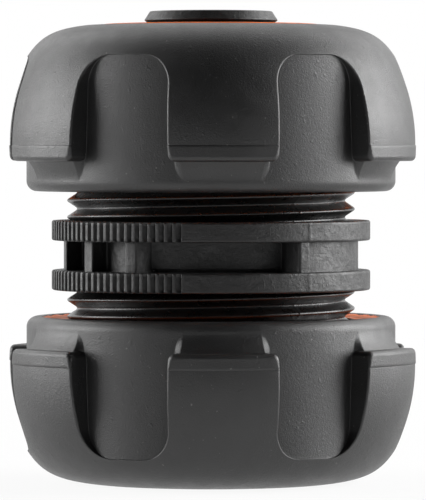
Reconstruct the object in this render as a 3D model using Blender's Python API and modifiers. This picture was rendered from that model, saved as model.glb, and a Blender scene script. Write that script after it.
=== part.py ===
"""Hose mender: a double ended coupling that joins two cut ends of a garden hose.

The axis is Z and the origin is the middle of the lower nut's nose, on which the part stands.
Seen from the front, along +Y, an azimuth of 0 faces the viewer and grows towards +X.
A moulded connector carries a barbed tail and a threaded collar at each end, with two grip
rings between them. A nut with six lobes, a soft shell over a threaded core, turns on each
collar and drives a slotted collet on to the hose.
"""

import math

import bmesh
import bpy
from mathutils import Matrix

MM = 0.001

# Connector: bore and barbed hose tails, each radius a step out from the one before
BORE_RADIUS = 5.0 * MM
BORE_CHAMFER = 0.5 * MM
TAIL_WALL = 1.3 * MM
TAIL_TIP_WALL = 1.57 * MM
TAIL_TIP_LENGTH = 1.0 * MM
BARB_HEIGHT = 0.9 * MM
BARB_LAND = 0.5 * MM
BARB_PITCH = 3.5 * MM
BARB_COUNT = 4
UPPER_TAIL_PROUD = 1.39 * MM
LOWER_TAIL_INSET = 0.5 * MM

# Space for the hose between a tail and its collet and nut
HOSE_SPACE = 3.0 * MM
GRIP_SPACE = 1.9 * MM

# Connector: drum, grip rings and the ribbed band between them
DRUM_STEP = 0.54 * MM
BAND_HEIGHT = 1.95 * MM
BAND_SINK = 0.4 * MM
PARTING_RIB_STEP = 1.05 * MM
PARTING_RIB_FRONT = 0.74 * MM
PARTING_RIB_BACK = 0.15 * MM
RING_STEP = 0.25 * MM
RING_THICKNESS = 2.1 * MM
RING_SPACE = 3.28 * MM
BLOCK_EDGE = 6.85 * MM
THIN_RIB_WIDTH = 1.55 * MM
THIN_RIB_SHIFT = 0.75 * MM
SIDE_RIB_EDGE = 4.74 * MM
SIDE_RIB_WIDTH = 1.38 * MM
MOULD_AZIMUTH = -52.6

# Knurling on the rings, in two opposite fields of ridges
KNURL_TEETH = 28
KNURL_STEP = 3.08
KNURL_DEPTH = 0.45 * MM
KNURL_LAND = 1.3
KNURL_START = -41.2

# Threaded collars
THREAD_DEPTH = 1.04 * MM
THREAD_PITCH = 1.8 * MM
THREAD_FLAT = 0.22 * MM
COLLAR_LENGTH = 10.26 * MM
COLLAR_WALL = 2.04 * MM
COLLAR_CHAMFER = 0.6 * MM
POCKET_FLOOR = 1.76 * MM
THREAD_SIDE = -90.0
UPPER_CREST = 4.065 * MM
LOWER_CREST = -4.825 * MM

# Nuts: places on the connector
UPPER_NUT_GAP = 2.98 * MM
LOWER_NUT_GAP = 2.7 * MM
LOBE_AZIMUTH = 3.5

# Nut core, with its cone for the collet and the nose round the hose hole
THREAD_CLEARANCE = 0.45 * MM
CORE_WALL = 1.97 * MM
CORE_INSET = 0.5 * MM
CORE_THREAD_LENGTH = 7.5 * MM
CORE_CHAMFER = 0.6 * MM
CORE_SLOPE_HEIGHT = 3.3 * MM
CORE_SLOPE_FOOT = 1.9 * MM
RELIEF_DEPTH = 0.27 * MM
COLLAR_CLEARANCE = 0.3 * MM
CONE_LEAD = 0.2 * MM
CONE_SPREAD = 2.1 * MM
CONE_LIP = 0.3 * MM
CONE_LENGTH = 5.44 * MM
NOSE_WALL = 1.8 * MM
NOSE_LENGTH = 2.1 * MM
NOSE_PROUD = 0.15 * MM
HOLE_CHAMFER = 0.35 * MM

# Nut shell
MOULD_GAP = 0.3 * MM
RIM_WALL = 1.55 * MM
RIM_FILLET = 0.9 * MM
FACE_WALL = 1.45 * MM
FACE_WIDTH = 1.6 * MM
LOBE_COUNT = 6
LOBE_HALF_ANGLE = 15.4
LOBE_HEIGHT = 2.65 * MM
LOBE_BOTTOM = 3.4 * MM
LOBE_SKIRT = 1.25 * MM
LOBE_DRAFT = 0.1 * MM
SHOULDER_INSET = 2.45 * MM
SHOULDER_DROP = 1.27 * MM
DOME_FULLNESS = 0.49
RECESS_STEP = 0.07 * MM
RECESS_DROP = 3.7 * MM
RECESS_CORNER = 2.6 * MM
TONGUE_FOOT = 1.3 * MM
TONGUE_HEIGHT = 0.95 * MM
TONGUE_DIP = 0.15 * MM
TONGUE_HOLLOW = 1.6
TONGUE_SINK = 0.35 * MM
TONGUE_TOP_HALF = 13.8
TONGUE_FOOT_HALF = 11.6

# Collets
COLLET_GAP = 0.3 * MM
COLLET_FOOT = 2.78 * MM
COLLET_FOOT_LENGTH = 2.5 * MM
COLLET_WALL = 2.4 * MM
FINGER_COUNT = 8
FINGER_SLOT = 1.2 * MM
FINGER_TOOTH = 1.2 * MM

# Facets
TURN_STEPS = 24
THREAD_STEPS = 24
SHELL_STEPS = 48
CURVE_STEPS = 7
CURVE_BUNCHING = 1.15
FILLET_STEPS = 2
BAND_STEPS = 36
RECESS_COLUMNS = 12
TONGUE_COLUMNS = 4
TONGUE_ROWS = 3
MERGE_DISTANCE = 0.001 * MM
CUT_MARGIN = 1.0 * MM
SHARP_ANGLE = 30.0

# Radii that follow from the steps above, from the bore outwards
TAIL_ROOT_RADIUS = BORE_RADIUS + TAIL_WALL
TAIL_TIP_RADIUS = BORE_RADIUS + TAIL_TIP_WALL
BARB_RADIUS = TAIL_ROOT_RADIUS + BARB_HEIGHT
FINGER_TIP_RADIUS = BARB_RADIUS + GRIP_SPACE
HOLE_RADIUS = BARB_RADIUS + HOSE_SPACE
NOSE_RADIUS = HOLE_RADIUS + NOSE_WALL
CONE_NARROW_RADIUS = HOLE_RADIUS + CONE_LIP
CONE_WIDE_RADIUS = CONE_NARROW_RADIUS + CONE_SPREAD
POCKET_RADIUS = CONE_WIDE_RADIUS - CONE_LEAD
THREAD_ROOT = POCKET_RADIUS + COLLAR_WALL
THREAD_RADIUS = THREAD_ROOT + THREAD_DEPTH
DRUM_RADIUS = THREAD_ROOT - DRUM_STEP
BAND_RADIUS = DRUM_RADIUS + BAND_HEIGHT
PARTING_RIB_RADIUS = BAND_RADIUS + PARTING_RIB_STEP
RING_RADIUS = PARTING_RIB_RADIUS + RING_STEP
CORE_BORE = THREAD_ROOT + THREAD_CLEARANCE
RELIEF_RADIUS = THREAD_RADIUS + THREAD_CLEARANCE + RELIEF_DEPTH
CORE_RADIUS = THREAD_RADIUS + THREAD_CLEARANCE + CORE_WALL
CORE_TOP_RADIUS = NOSE_RADIUS + CORE_SLOPE_FOOT
SKIRT_RADIUS = CORE_RADIUS + MOULD_GAP + RIM_WALL
RECESS_RADIUS = SKIRT_RADIUS + RECESS_STEP
TONGUE_RADIUS = SKIRT_RADIUS + TONGUE_HEIGHT
LOBE_RADIUS = SKIRT_RADIUS + LOBE_HEIGHT
FACE_RADIUS = NOSE_RADIUS + FACE_WIDTH

# Heights inside a nut, measured from its rim
RELIEF_START = CORE_INSET + CORE_THREAD_LENGTH
CONE_START = COLLAR_LENGTH + COLLAR_CLEARANCE
CONE_END = CONE_START + CONE_LENGTH
NOSE_HEIGHT = CONE_END + NOSE_LENGTH
NUT_HEIGHT = NOSE_HEIGHT - NOSE_PROUD
CORE_TOP = NUT_HEIGHT - FACE_WALL - MOULD_GAP
CORE_SHOULDER = CORE_TOP - CORE_SLOPE_HEIGHT
RECESS_TOP = NUT_HEIGHT - RECESS_DROP

# Heights measured from the middle of the connector
RING_FACE = RING_SPACE / 2 + RING_THICKNESS
COLLAR_END = RING_FACE + COLLAR_LENGTH
UPPER_RIM = RING_FACE + UPPER_NUT_GAP
LOWER_RIM = RING_FACE + LOWER_NUT_GAP
MIDDLE = LOWER_RIM + NOSE_HEIGHT
UPPER_TAIL_END = UPPER_RIM + NOSE_HEIGHT + UPPER_TAIL_PROUD
LOWER_TAIL_END = LOWER_RIM + NOSE_HEIGHT - LOWER_TAIL_INSET

BLACK = (0.022, 0.022, 0.024, 1.0)
DARK_GREY = (0.035, 0.035, 0.037, 1.0)
ORANGE = (0.9, 0.14, 0.015, 1.0)
PALE_GREY = (0.55, 0.55, 0.54, 1.0)


def clear_scene():
    for item in list(bpy.data.objects):
        bpy.data.objects.remove(item, do_unlink=True)


def make_collection(name):
    collection = bpy.data.collections.new(name)
    bpy.context.scene.collection.children.link(collection)
    return collection


def make_material(name, color, roughness):
    material = bpy.data.materials.new(name)
    material.use_nodes = True
    shader = material.node_tree.nodes["Principled BSDF"]
    shader.inputs["Base Color"].default_value = color
    shader.inputs["Roughness"].default_value = roughness
    shader.inputs["Metallic"].default_value = 0.0
    material.diffuse_color = color
    return material


def add_object(name, data, collection, parent=None):
    item = bpy.data.objects.new(name, data)
    collection.objects.link(item)
    item.parent = parent
    return item


def hide_cutter(item):
    item.hide_render = True
    item.display_type = "WIRE"
    return item


def evaluated_mesh(item):
    bpy.context.view_layer.update()
    graph = bpy.context.evaluated_depsgraph_get()
    return bpy.data.meshes.new_from_object(item.evaluated_get(graph))


def clockwise(profile):
    """The closed profile, in the order that runs down its outer side."""
    area = 0.0
    for (r0, z0), (r1, z1) in zip(profile, profile[1:] + profile[:1]):
        area += r0 * z1 - r1 * z0
    return profile[::-1] if area > 0 else profile


def turned(name, profile, collection, parent=None, steps=TURN_STEPS):
    """A closed profile of (radius, height) pairs turned round Z."""
    points = clockwise(profile)
    edges = [(i, (i + 1) % len(points)) for i in range(len(points))]
    mesh = bpy.data.meshes.new(name)
    mesh.from_pydata([(r, 0.0, z) for r, z in points], edges, [])
    item = add_object(name, mesh, collection, parent)
    screw = item.modifiers.new("turn", "SCREW")
    screw.steps = steps
    screw.render_steps = steps
    screw.use_merge_vertices = True
    screw.merge_threshold = MERGE_DISTANCE
    return item


def combine(item, other, operation):
    """Joins or cuts with a Boolean, and keeps the other shape as a hidden cutter."""
    boolean = item.modifiers.new(other.name, "BOOLEAN")
    boolean.operation = operation
    boolean.solver = "EXACT"
    boolean.object = hide_cutter(other)
    return item


def finish_piece(item, material):
    """Applies the modifiers, then gives the piece its material and smooth round faces."""
    mesh = evaluated_mesh(item)
    item.modifiers.clear()
    item.data = mesh
    mesh.materials.clear()
    mesh.materials.append(material)
    mesh.shade_smooth()
    mesh.set_sharp_from_angle(angle=math.radians(SHARP_ANGLE))
    return item


def arc(center, radius, start, end, steps):
    """Points of an arc in a profile, from one angle to another in degrees."""
    points = []
    for i in range(steps + 1):
        angle = math.radians(start + (end - start) * i / steps)
        points.append((center[0] + radius * math.cos(angle), center[1] + radius * math.sin(angle)))
    return points


def bezier(p0, p1, p2, p3, steps):
    """Points of a cubic curve in a profile, closer together near its start."""
    points = []
    for i in range(steps + 1):
        t = (i / steps) ** CURVE_BUNCHING
        s = 1.0 - t
        weights = (s ** 3, 3 * s * s * t, 3 * s * t * t, t ** 3)
        r = sum(w * p[0] for w, p in zip(weights, (p0, p1, p2, p3)))
        z = sum(w * p[1] for w, p in zip(weights, (p0, p1, p2, p3)))
        points.append((r, z))
    return points


def plate(name, outline, hole_radius, low, high, collection):
    """A flat outline with a round hole, drawn as a curve and given its thickness."""
    curve = bpy.data.curves.new(name, "CURVE")
    curve.dimensions = "2D"
    curve.fill_mode = "BOTH"
    curve.extrude = (high - low) / 2
    hole = arc((0.0, 0.0), hole_radius, 0.0, 360.0, TURN_STEPS)[:-1]
    for points in (outline, hole):
        spline = curve.splines.new("POLY")
        spline.points.add(len(points) - 1)
        for target, (x, y) in zip(spline.points, points):
            target.co = (x, y, 0.0, 1.0)
        spline.use_cyclic_u = True
    drawn = add_object(name + "_curve", curve, collection)
    mesh = evaluated_mesh(drawn)
    bpy.data.objects.remove(drawn, do_unlink=True)
    body = bmesh.new()
    body.from_mesh(mesh)
    bmesh.ops.remove_doubles(body, verts=body.verts, dist=MERGE_DISTANCE)
    bmesh.ops.recalc_face_normals(body, faces=body.faces)
    body.to_mesh(mesh)
    body.free()
    item = add_object(name, mesh, collection)
    item.location.z = (high + low) / 2
    return item


def mould_to_world(degrees):
    """The math angle of a direction given in degrees from the mould's opening direction."""
    return math.radians(MOULD_AZIMUTH - 90.0 + degrees)


def tooth_angle(radius, degrees):
    """The angle at which a wall parallel to the opening direction meets a smaller radius."""
    across = RING_RADIUS * math.sin(math.radians(degrees))
    return math.degrees(math.asin(across / radius))


def ring_outline():
    """Two opposite fields of knurled ridges and the smooth arcs between them."""
    root = RING_RADIUS - KNURL_DEPTH
    field = []
    for i in range(KNURL_TEETH):
        left = KNURL_START + i * KNURL_STEP
        right = left + KNURL_LAND
        field.append((RING_RADIUS, left))
        field.append((RING_RADIUS, right))
        if i < KNURL_TEETH - 1:
            left_foot = tooth_angle(root, right)
            right_foot = tooth_angle(root, left + KNURL_STEP)
            field.append((root, (left_foot + right_foot) / 2))
    last = KNURL_START + (KNURL_TEETH - 1) * KNURL_STEP + KNURL_LAND
    gap = KNURL_START + 180.0 - last
    smooth_steps = round(gap * TURN_STEPS / 360.0)
    for i in range(1, smooth_steps):
        field.append((RING_RADIUS, last + gap * i / smooth_steps))
    outline = []
    for half_turn in (0.0, 180.0):
        for radius, degrees in field:
            angle = mould_to_world(degrees + half_turn)
            outline.append((radius * math.cos(angle), radius * math.sin(angle)))
    return outline


def box(body, low, high, turn):
    """Adds a box to a mesh, from its corners in the mould's frame, turned about Z."""
    made = bmesh.ops.create_cube(body, size=1.0)
    size = [h - l for l, h in zip(low, high)]
    center = [(h + l) / 2 for l, h in zip(low, high)]
    place = turn @ Matrix.Translation(center) @ Matrix.Diagonal((*size, 1.0))
    bmesh.ops.transform(body, matrix=place, verts=made["verts"])


def mould_boxes(name, boxes, half_height, collection):
    """Boxes in the mould's frame, X across and Y against its opening, and their opposites."""
    body = bmesh.new()
    for half_turn in (0.0, math.pi):
        turn = Matrix.Rotation(math.radians(MOULD_AZIMUTH) + half_turn, 4, "Z")
        for x0, x1, y0, y1 in boxes:
            box(body, (x0, -y1, -half_height), (x1, -y0, half_height), turn)
    mesh = bpy.data.meshes.new(name)
    body.to_mesh(mesh)
    body.free()
    return add_object(name, mesh, collection)


def grip_band(collection):
    """The ribbed band between the rings: a disc with three pockets moulded in each side."""
    half = RING_SPACE / 2 + BAND_SINK
    rim = arc((0.0, 0.0), BAND_RADIUS, 0.0, 360.0, BAND_STEPS)[:-1]
    band = plate("grip_band", rim, BORE_RADIUS * 2, -half, half, collection)
    reach = RING_RADIUS
    depth = DRUM_RADIUS / 2
    thin_left = -THIN_RIB_SHIFT - THIN_RIB_WIDTH / 2
    thin_right = -THIN_RIB_SHIFT + THIN_RIB_WIDTH / 2
    pockets = (
        (-BLOCK_EDGE, thin_left, depth, reach),
        (thin_right, SIDE_RIB_EDGE, depth, reach),
        (SIDE_RIB_EDGE + SIDE_RIB_WIDTH, reach, PARTING_RIB_FRONT / 2, reach),
    )
    combine(band, mould_boxes("band_pockets", pockets, half + CUT_MARGIN, collection), "DIFFERENCE")
    return band


def parting_ribs(collection):
    """The two thin ribs that stand out along the mould's parting plane."""
    half = RING_SPACE / 2 + BAND_SINK / 2
    ribs = ((DRUM_RADIUS - BAND_SINK, PARTING_RIB_RADIUS, -PARTING_RIB_BACK, PARTING_RIB_FRONT),)
    return mould_boxes("parting_ribs", ribs, half, collection)


def tail_profile(tip):
    """One barbed tail from its tip down to the pocket floor, as heights above the middle."""
    points = [(TAIL_TIP_RADIUS, tip)]
    height = tip - TAIL_TIP_LENGTH
    for _ in range(BARB_COUNT):
        points.append((BARB_RADIUS, height))
        points.append((TAIL_ROOT_RADIUS, height - BARB_LAND))
        height -= BARB_PITCH
    points.append((TAIL_ROOT_RADIUS, RING_FACE + POCKET_FLOOR))
    return points


def end_profile(tip):
    """Half of the connector's section, from the bore over the tail to the outer drum."""
    bore = [(BORE_RADIUS, tip - BORE_CHAMFER), (BORE_RADIUS + BORE_CHAMFER, tip)]
    return bore + tail_profile(tip) + [(DRUM_RADIUS, RING_FACE + POCKET_FLOOR)]


def thread_profile(clearance):
    """One pitch of the thread from root to root; a clearance moves it outwards for the nut."""
    root = THREAD_ROOT + clearance
    tip = THREAD_RADIUS + clearance
    half_crest = THREAD_FLAT / 2
    half_ridge = (THREAD_PITCH - THREAD_FLAT) / 2
    return [
        (root, -half_ridge),
        (tip, -half_crest),
        (tip, half_crest),
        (root, half_ridge),
        (root, THREAD_PITCH - half_ridge),
    ]


def threaded_rod(name, crest, near, far, direction, clearance, collection):
    """A right-hand threaded rod that fills the heights from near to far, up or down.

    A crest passes the given height at the thread's side. Each turn of the profile meets the
    next, and the two ends, one pitch of helix each, are closed by fans to the axis. The far
    end's helix starts at the far height.
    """
    turns = math.ceil((far - near) / THREAD_PITCH) + 1
    half_ridge = (THREAD_PITCH - THREAD_FLAT) / 2
    lowest = far - turns * THREAD_PITCH if direction > 0 else -far - THREAD_PITCH
    start = lowest + half_ridge
    mesh = bpy.data.meshes.new(name)
    points = thread_profile(clearance)
    edges = [(i, i + 1) for i in range(len(points) - 1)]
    mesh.from_pydata([(r, 0.0, z) for r, z in points], edges, [])
    rod = add_object(name, mesh, collection)
    screw = rod.modifiers.new("thread", "SCREW")
    screw.steps = THREAD_STEPS
    screw.render_steps = THREAD_STEPS
    screw.iterations = turns
    screw.screw_offset = THREAD_PITCH
    swept = evaluated_mesh(rod)
    rod.modifiers.clear()
    body = bmesh.new()
    body.from_mesh(swept)
    bmesh.ops.remove_doubles(body, verts=body.verts, dist=MERGE_DISTANCE)
    ends = bmesh.ops.holes_fill(body, edges=[edge for edge in body.edges if edge.is_boundary])
    bmesh.ops.poke(body, faces=ends["faces"])
    bmesh.ops.recalc_face_normals(body, faces=body.faces)
    body.to_mesh(swept)
    body.free()
    rod.data = swept
    rod.location.z = start
    azimuth = THREAD_SIDE + 360.0 * (start - crest) / THREAD_PITCH
    rod.rotation_euler.z = math.radians(azimuth - 90.0)
    return rod


def collar(name, crest, direction, collection):
    """One threaded collar, from inside its ring to the chamfer at its open end."""
    foot = RING_FACE - RING_THICKNESS / 2
    outside = THREAD_RADIUS + CUT_MARGIN
    blank = [
        (POCKET_RADIUS, foot),
        (POCKET_RADIUS, COLLAR_END),
        (THREAD_ROOT - COLLAR_CHAMFER, COLLAR_END),
        (outside, COLLAR_END - outside + THREAD_ROOT - COLLAR_CHAMFER),
        (outside, foot),
    ]
    ring = turned(name, [(r, direction * z) for r, z in blank], collection)
    rod = threaded_rod(name + "_rod", crest, foot, COLLAR_END, direction, 0.0, collection)
    return combine(ring, rod, "INTERSECT")


def connector_body(collection, cutters, material):
    """The moulded middle: two barbed tails, two threaded collars and the grip rings."""
    lower = [(r, -z) for r, z in reversed(end_profile(LOWER_TAIL_END))]
    body = turned("connector_body", end_profile(UPPER_TAIL_END) + lower, collection)
    outline = ring_outline()
    combine(body, grip_band(cutters), "UNION")
    combine(body, parting_ribs(cutters), "UNION")
    for side, end, crest in ((1, "upper", UPPER_CREST), (-1, "lower", LOWER_CREST)):
        low, high = sorted((side * (RING_FACE - RING_THICKNESS), side * RING_FACE))
        combine(body, plate(end + "_ring", outline, BORE_RADIUS * 2, low, high, cutters), "UNION")
        combine(body, collar(end + "_collar", crest, side, cutters), "UNION")
    finish_piece(body, material)
    body.location.z = MIDDLE
    return body


def nut_frame(name, rim, direction, collection):
    """An empty on the axis at a nut's rim, with its Z towards the nut's nose.

    The lower one is turned over, and then back round the axis so that both nuts' lobes line up.
    """
    frame = add_object(name, None, collection)
    frame.location.z = MIDDLE + direction * rim
    if direction < 0:
        frame.rotation_euler = (math.pi, 0.0, math.radians(2 * LOBE_AZIMUTH))
    return frame


def core_shoulder(gap):
    """The stepped outside of the nut core, from its side to its nose, grown by a gap."""
    return [
        (CORE_RADIUS + gap, CORE_SHOULDER + gap),
        (CORE_TOP_RADIUS + gap, CORE_TOP + gap),
        (NOSE_RADIUS + gap, CORE_TOP + gap),
    ]


def shell_profile():
    """The soft shell's section through a lobe: domed outside, stepped inside."""
    rim_center = (SKIRT_RADIUS - RIM_FILLET, RIM_FILLET)
    inner = CORE_RADIUS + MOULD_GAP
    side_foot = LOBE_BOTTOM + LOBE_SKIRT
    side_pull = NUT_HEIGHT - DOME_FULLNESS * (NUT_HEIGHT - side_foot)
    dome = bezier(
        (FACE_RADIUS, NUT_HEIGHT),
        (LOBE_RADIUS - SHOULDER_INSET, NUT_HEIGHT - SHOULDER_DROP),
        (LOBE_RADIUS - LOBE_DRAFT, side_pull),
        (LOBE_RADIUS - LOBE_DRAFT, side_foot),
        CURVE_STEPS,
    )
    return (
        [(NOSE_RADIUS + MOULD_GAP, NUT_HEIGHT)]
        + dome
        + [(LOBE_RADIUS, LOBE_BOTTOM), (SKIRT_RADIUS, LOBE_BOTTOM)]
        + arc(rim_center, RIM_FILLET, 0.0, -90.0, FILLET_STEPS)
        + [(inner, 0.0)]
        + core_shoulder(MOULD_GAP)
    )


def bent_blocks(name, shape, first, columns, rows, collection, parent):
    """Six blocks bent round the axis, one for each lobe, starting at the first azimuth.

    The shape gives an angle, a radius and a height for a place across (-1 to 1), up (0 to 1)
    and outwards (0 or 1) in the block.
    """
    verts = []
    faces = []
    grid = (rows + 1) * (columns + 1)
    for lobe in range(LOBE_COUNT):
        base = len(verts)
        for layer in range(2):
            for row in range(rows + 1):
                for column in range(columns + 1):
                    across = 2.0 * column / columns - 1.0
                    degrees, radius, height = shape(across, row / rows, layer)
                    angle = math.radians(first + lobe * 360.0 / LOBE_COUNT + degrees - 90.0)
                    verts.append((radius * math.cos(angle), radius * math.sin(angle), height))
        around = [base + i for i in range(columns)]
        around += [base + columns + row * (columns + 1) for row in range(rows)]
        around += [base + grid - 1 - i for i in range(columns)]
        around += [base + (rows - row) * (columns + 1) for row in range(rows)]
        for here, after in zip(around, around[1:] + around[:1]):
            faces.append((here, here + grid, after + grid, after))
        for row in range(rows):
            for column in range(columns):
                corner = base + row * (columns + 1) + column
                cell = (corner, corner + 1, corner + columns + 2, corner + columns + 1)
                faces.append(cell)
                faces.append(tuple(vert + grid for vert in reversed(cell)))
    mesh = bpy.data.meshes.new(name)
    mesh.from_pydata(verts, [], faces)
    body = bmesh.new()
    body.from_mesh(mesh)
    bmesh.ops.recalc_face_normals(body, faces=body.faces)
    body.to_mesh(mesh)
    body.free()
    return add_object(name, mesh, collection, parent)


def recess_shape(across, up, layer):
    """An arched window between two lobes: straight sides, rounded top corners."""
    half = 180.0 / LOBE_COUNT - LOBE_HALF_ANGLE
    share = math.sin(across * math.pi / 2)
    radius = LOBE_RADIUS + CUT_MARGIN if layer else RECESS_RADIUS
    height = (LOBE_BOTTOM + RIM_FILLET) / 2
    if up:
        inwards = math.radians(half) * RECESS_RADIUS * (1.0 - abs(share))
        short = max(RECESS_CORNER - inwards, 0.0)
        height = RECESS_TOP - RECESS_CORNER + math.sqrt(RECESS_CORNER ** 2 - short ** 2)
    return share * half, radius, height


def tongue_shape(across, up, layer):
    """The ramp under a lobe: it narrows and sinks, in a hollow curve, into the skirt."""
    half = TONGUE_FOOT_HALF + (TONGUE_TOP_HALF - TONGUE_FOOT_HALF) * up
    height = TONGUE_FOOT + (LOBE_BOTTOM - TONGUE_FOOT) * up
    inner = SKIRT_RADIUS - TONGUE_SINK
    foot = SKIRT_RADIUS - TONGUE_DIP
    radius = foot + (TONGUE_RADIUS - foot) * up ** TONGUE_HOLLOW
    if up == 1.0:
        height += TONGUE_SINK
    return across * half, radius if layer else inner, height


def nut_grip(name, frame, collection, cutters, material):
    """The soft shell with its six lobes: a turned dome with arched recesses between lobes."""
    grip = turned(name, shell_profile(), collection, frame, SHELL_STEPS)
    between = LOBE_AZIMUTH + 180.0 / LOBE_COUNT
    recesses = bent_blocks(
        name + "_recesses", recess_shape, between, RECESS_COLUMNS, 1, cutters, frame
    )
    combine(grip, recesses, "DIFFERENCE")
    tongues = bent_blocks(
        name + "_tongues", tongue_shape, LOBE_AZIMUTH, TONGUE_COLUMNS, TONGUE_ROWS, cutters, frame
    )
    combine(grip, tongues, "UNION")
    return finish_piece(grip, material)


def core_profile():
    """The core's section: thread bore, run-out relief, collet cone, hose hole and nose."""
    return [
        (CORE_BORE + CORE_CHAMFER, CORE_INSET),
        (CORE_BORE - CUT_MARGIN / 2, CORE_INSET + CORE_CHAMFER + CUT_MARGIN / 2),
        (CORE_BORE - CUT_MARGIN / 2, RELIEF_START),
        (RELIEF_RADIUS, RELIEF_START),
        (RELIEF_RADIUS, CONE_START),
        (CONE_WIDE_RADIUS, CONE_START),
        (CONE_NARROW_RADIUS, CONE_END),
        (HOLE_RADIUS, CONE_END),
        (HOLE_RADIUS, NOSE_HEIGHT - HOLE_CHAMFER),
        (HOLE_RADIUS + HOLE_CHAMFER, NOSE_HEIGHT),
        (NOSE_RADIUS, NOSE_HEIGHT),
    ] + core_shoulder(0.0)[::-1] + [(CORE_RADIUS, CORE_INSET)]


def nut_core(name, frame, rim, crest, direction, collection, cutters, material):
    """The hard core that carries the thread, cut by the collar's own helix plus clearance."""
    core = turned(name, core_profile(), collection, frame)
    inner_end = RELIEF_START + (CONE_START - RELIEF_START - THREAD_PITCH) / 2
    far = rim + inner_end
    tap = threaded_rod(name + "_tap", crest, rim, far, direction, THREAD_CLEARANCE, cutters)
    tap.location.z += MIDDLE
    combine(core, tap, "DIFFERENCE")
    return finish_piece(core, material)


def collet_profile():
    """The collet's section: a plain foot ring and a finger that follows the nut's cone."""
    slope = (CONE_WIDE_RADIUS - CONE_NARROW_RADIUS) / (CONE_END - CONE_START)
    offset = COLLET_GAP * math.sqrt(1.0 + slope ** 2)
    outer = POCKET_RADIUS - COLLET_GAP
    inner = outer - COLLET_WALL
    tip = CONE_END - COLLET_GAP
    taper = CONE_START + (CONE_WIDE_RADIUS - offset - outer) / slope
    tip_outer = CONE_WIDE_RADIUS - offset - slope * (tip - CONE_START)
    return [
        (inner, COLLET_FOOT),
        (inner, tip - 2 * FINGER_TOOTH),
        (FINGER_TIP_RADIUS, tip - FINGER_TOOTH),
        (FINGER_TIP_RADIUS, tip - FINGER_TOOTH / 2),
        (inner, tip),
        (tip_outer, tip),
        (outer, taper),
        (outer, COLLET_FOOT),
    ]


def finger_slots(name, collection, parent):
    """Slots between the fingers, from the foot ring out through the tips."""
    body = bmesh.new()
    low = COLLET_FOOT + COLLET_FOOT_LENGTH
    high = CONE_END + CUT_MARGIN
    for i in range(FINGER_COUNT):
        turn = Matrix.Rotation(i * 2 * math.pi / FINGER_COUNT, 4, "Z")
        near = (BARB_RADIUS, -FINGER_SLOT / 2, low)
        box(body, near, (THREAD_RADIUS, FINGER_SLOT / 2, high), turn)
    mesh = bpy.data.meshes.new(name)
    body.to_mesh(mesh)
    body.free()
    return add_object(name, mesh, collection, parent)


def collet(name, frame, collection, cutters, material):
    """The slotted ring that the nut's cone closes on to the hose."""
    ring = turned(name, collet_profile(), collection, frame)
    combine(ring, finger_slots(name + "_slots", cutters, frame), "DIFFERENCE")
    return finish_piece(ring, material)


def main():
    clear_scene()
    collection = make_collection("hose_mender")
    cutters = make_collection("cutters")
    hard_black = make_material("hard_black_plastic", DARK_GREY, 0.35)
    soft_black = make_material("soft_black_grip", BLACK, 0.55)
    orange = make_material("orange_plastic", ORANGE, 0.4)
    pale = make_material("pale_plastic", PALE_GREY, 0.45)
    connector_body(collection, cutters, hard_black)
    ends = (("upper", UPPER_RIM, UPPER_CREST, 1), ("lower", LOWER_RIM, LOWER_CREST, -1))
    for end, rim, crest, direction in ends:
        frame = nut_frame(end + "_nut_axis", rim, direction, collection)
        nut_core(end + "_nut_core", frame, rim, crest, direction, collection, cutters, orange)
        nut_grip(end + "_nut_grip", frame, collection, cutters, soft_black)
        collet(end + "_collet", frame, collection, cutters, pale)


main()
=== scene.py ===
"""Garden hose mender: detailed surfaces, finishes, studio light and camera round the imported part.

Every piece is a surface worked out with numpy in millimetres and written to its mesh in
metres. The axis is Z, an azimuth of 0 faces the viewer (-Y) and grows towards +X, and heights
are measured from the middle of the connector unless a docstring says otherwise.
"""

import bmesh
import bpy
import numpy as np
from bpy.props import FloatProperty, FloatVectorProperty, IntProperty, PointerProperty
from bpy.types import Operator, Panel, PropertyGroup
from mathutils import Matrix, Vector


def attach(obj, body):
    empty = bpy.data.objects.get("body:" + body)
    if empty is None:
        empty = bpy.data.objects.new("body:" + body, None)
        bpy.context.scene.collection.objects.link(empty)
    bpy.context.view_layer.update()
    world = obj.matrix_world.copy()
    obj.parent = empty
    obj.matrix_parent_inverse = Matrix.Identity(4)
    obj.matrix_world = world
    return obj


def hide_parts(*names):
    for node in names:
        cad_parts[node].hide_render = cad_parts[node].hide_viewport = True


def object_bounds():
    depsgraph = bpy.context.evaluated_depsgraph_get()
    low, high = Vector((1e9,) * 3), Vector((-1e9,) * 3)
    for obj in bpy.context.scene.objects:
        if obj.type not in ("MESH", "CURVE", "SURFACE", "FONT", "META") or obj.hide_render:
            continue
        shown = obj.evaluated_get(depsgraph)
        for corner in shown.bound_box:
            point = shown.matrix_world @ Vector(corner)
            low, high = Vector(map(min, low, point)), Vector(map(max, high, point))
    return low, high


bl_info = {
    "name": "Hose Mender",
    "version": (1, 0, 0),
    "blender": (4, 5, 0),
    "location": "3D View > Sidebar > Hose Mender",
    "description": "Builds the surfaces, finishes and studio of a garden hose mender",
    "category": "Add Mesh",
}

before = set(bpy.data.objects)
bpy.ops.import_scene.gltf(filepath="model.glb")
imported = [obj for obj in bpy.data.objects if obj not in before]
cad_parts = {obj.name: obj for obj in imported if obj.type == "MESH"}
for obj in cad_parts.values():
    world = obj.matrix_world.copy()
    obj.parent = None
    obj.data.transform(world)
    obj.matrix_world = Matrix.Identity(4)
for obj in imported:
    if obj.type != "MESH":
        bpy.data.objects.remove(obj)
CAD_BOX = [list(corner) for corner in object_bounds()]

MM = 0.001
PHOTO_WIDTH = 426
PHOTO_HEIGHT = 500
SENSOR = 36.0
LAMP_AIM = (0.0, 0.0, 0.025)

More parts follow.
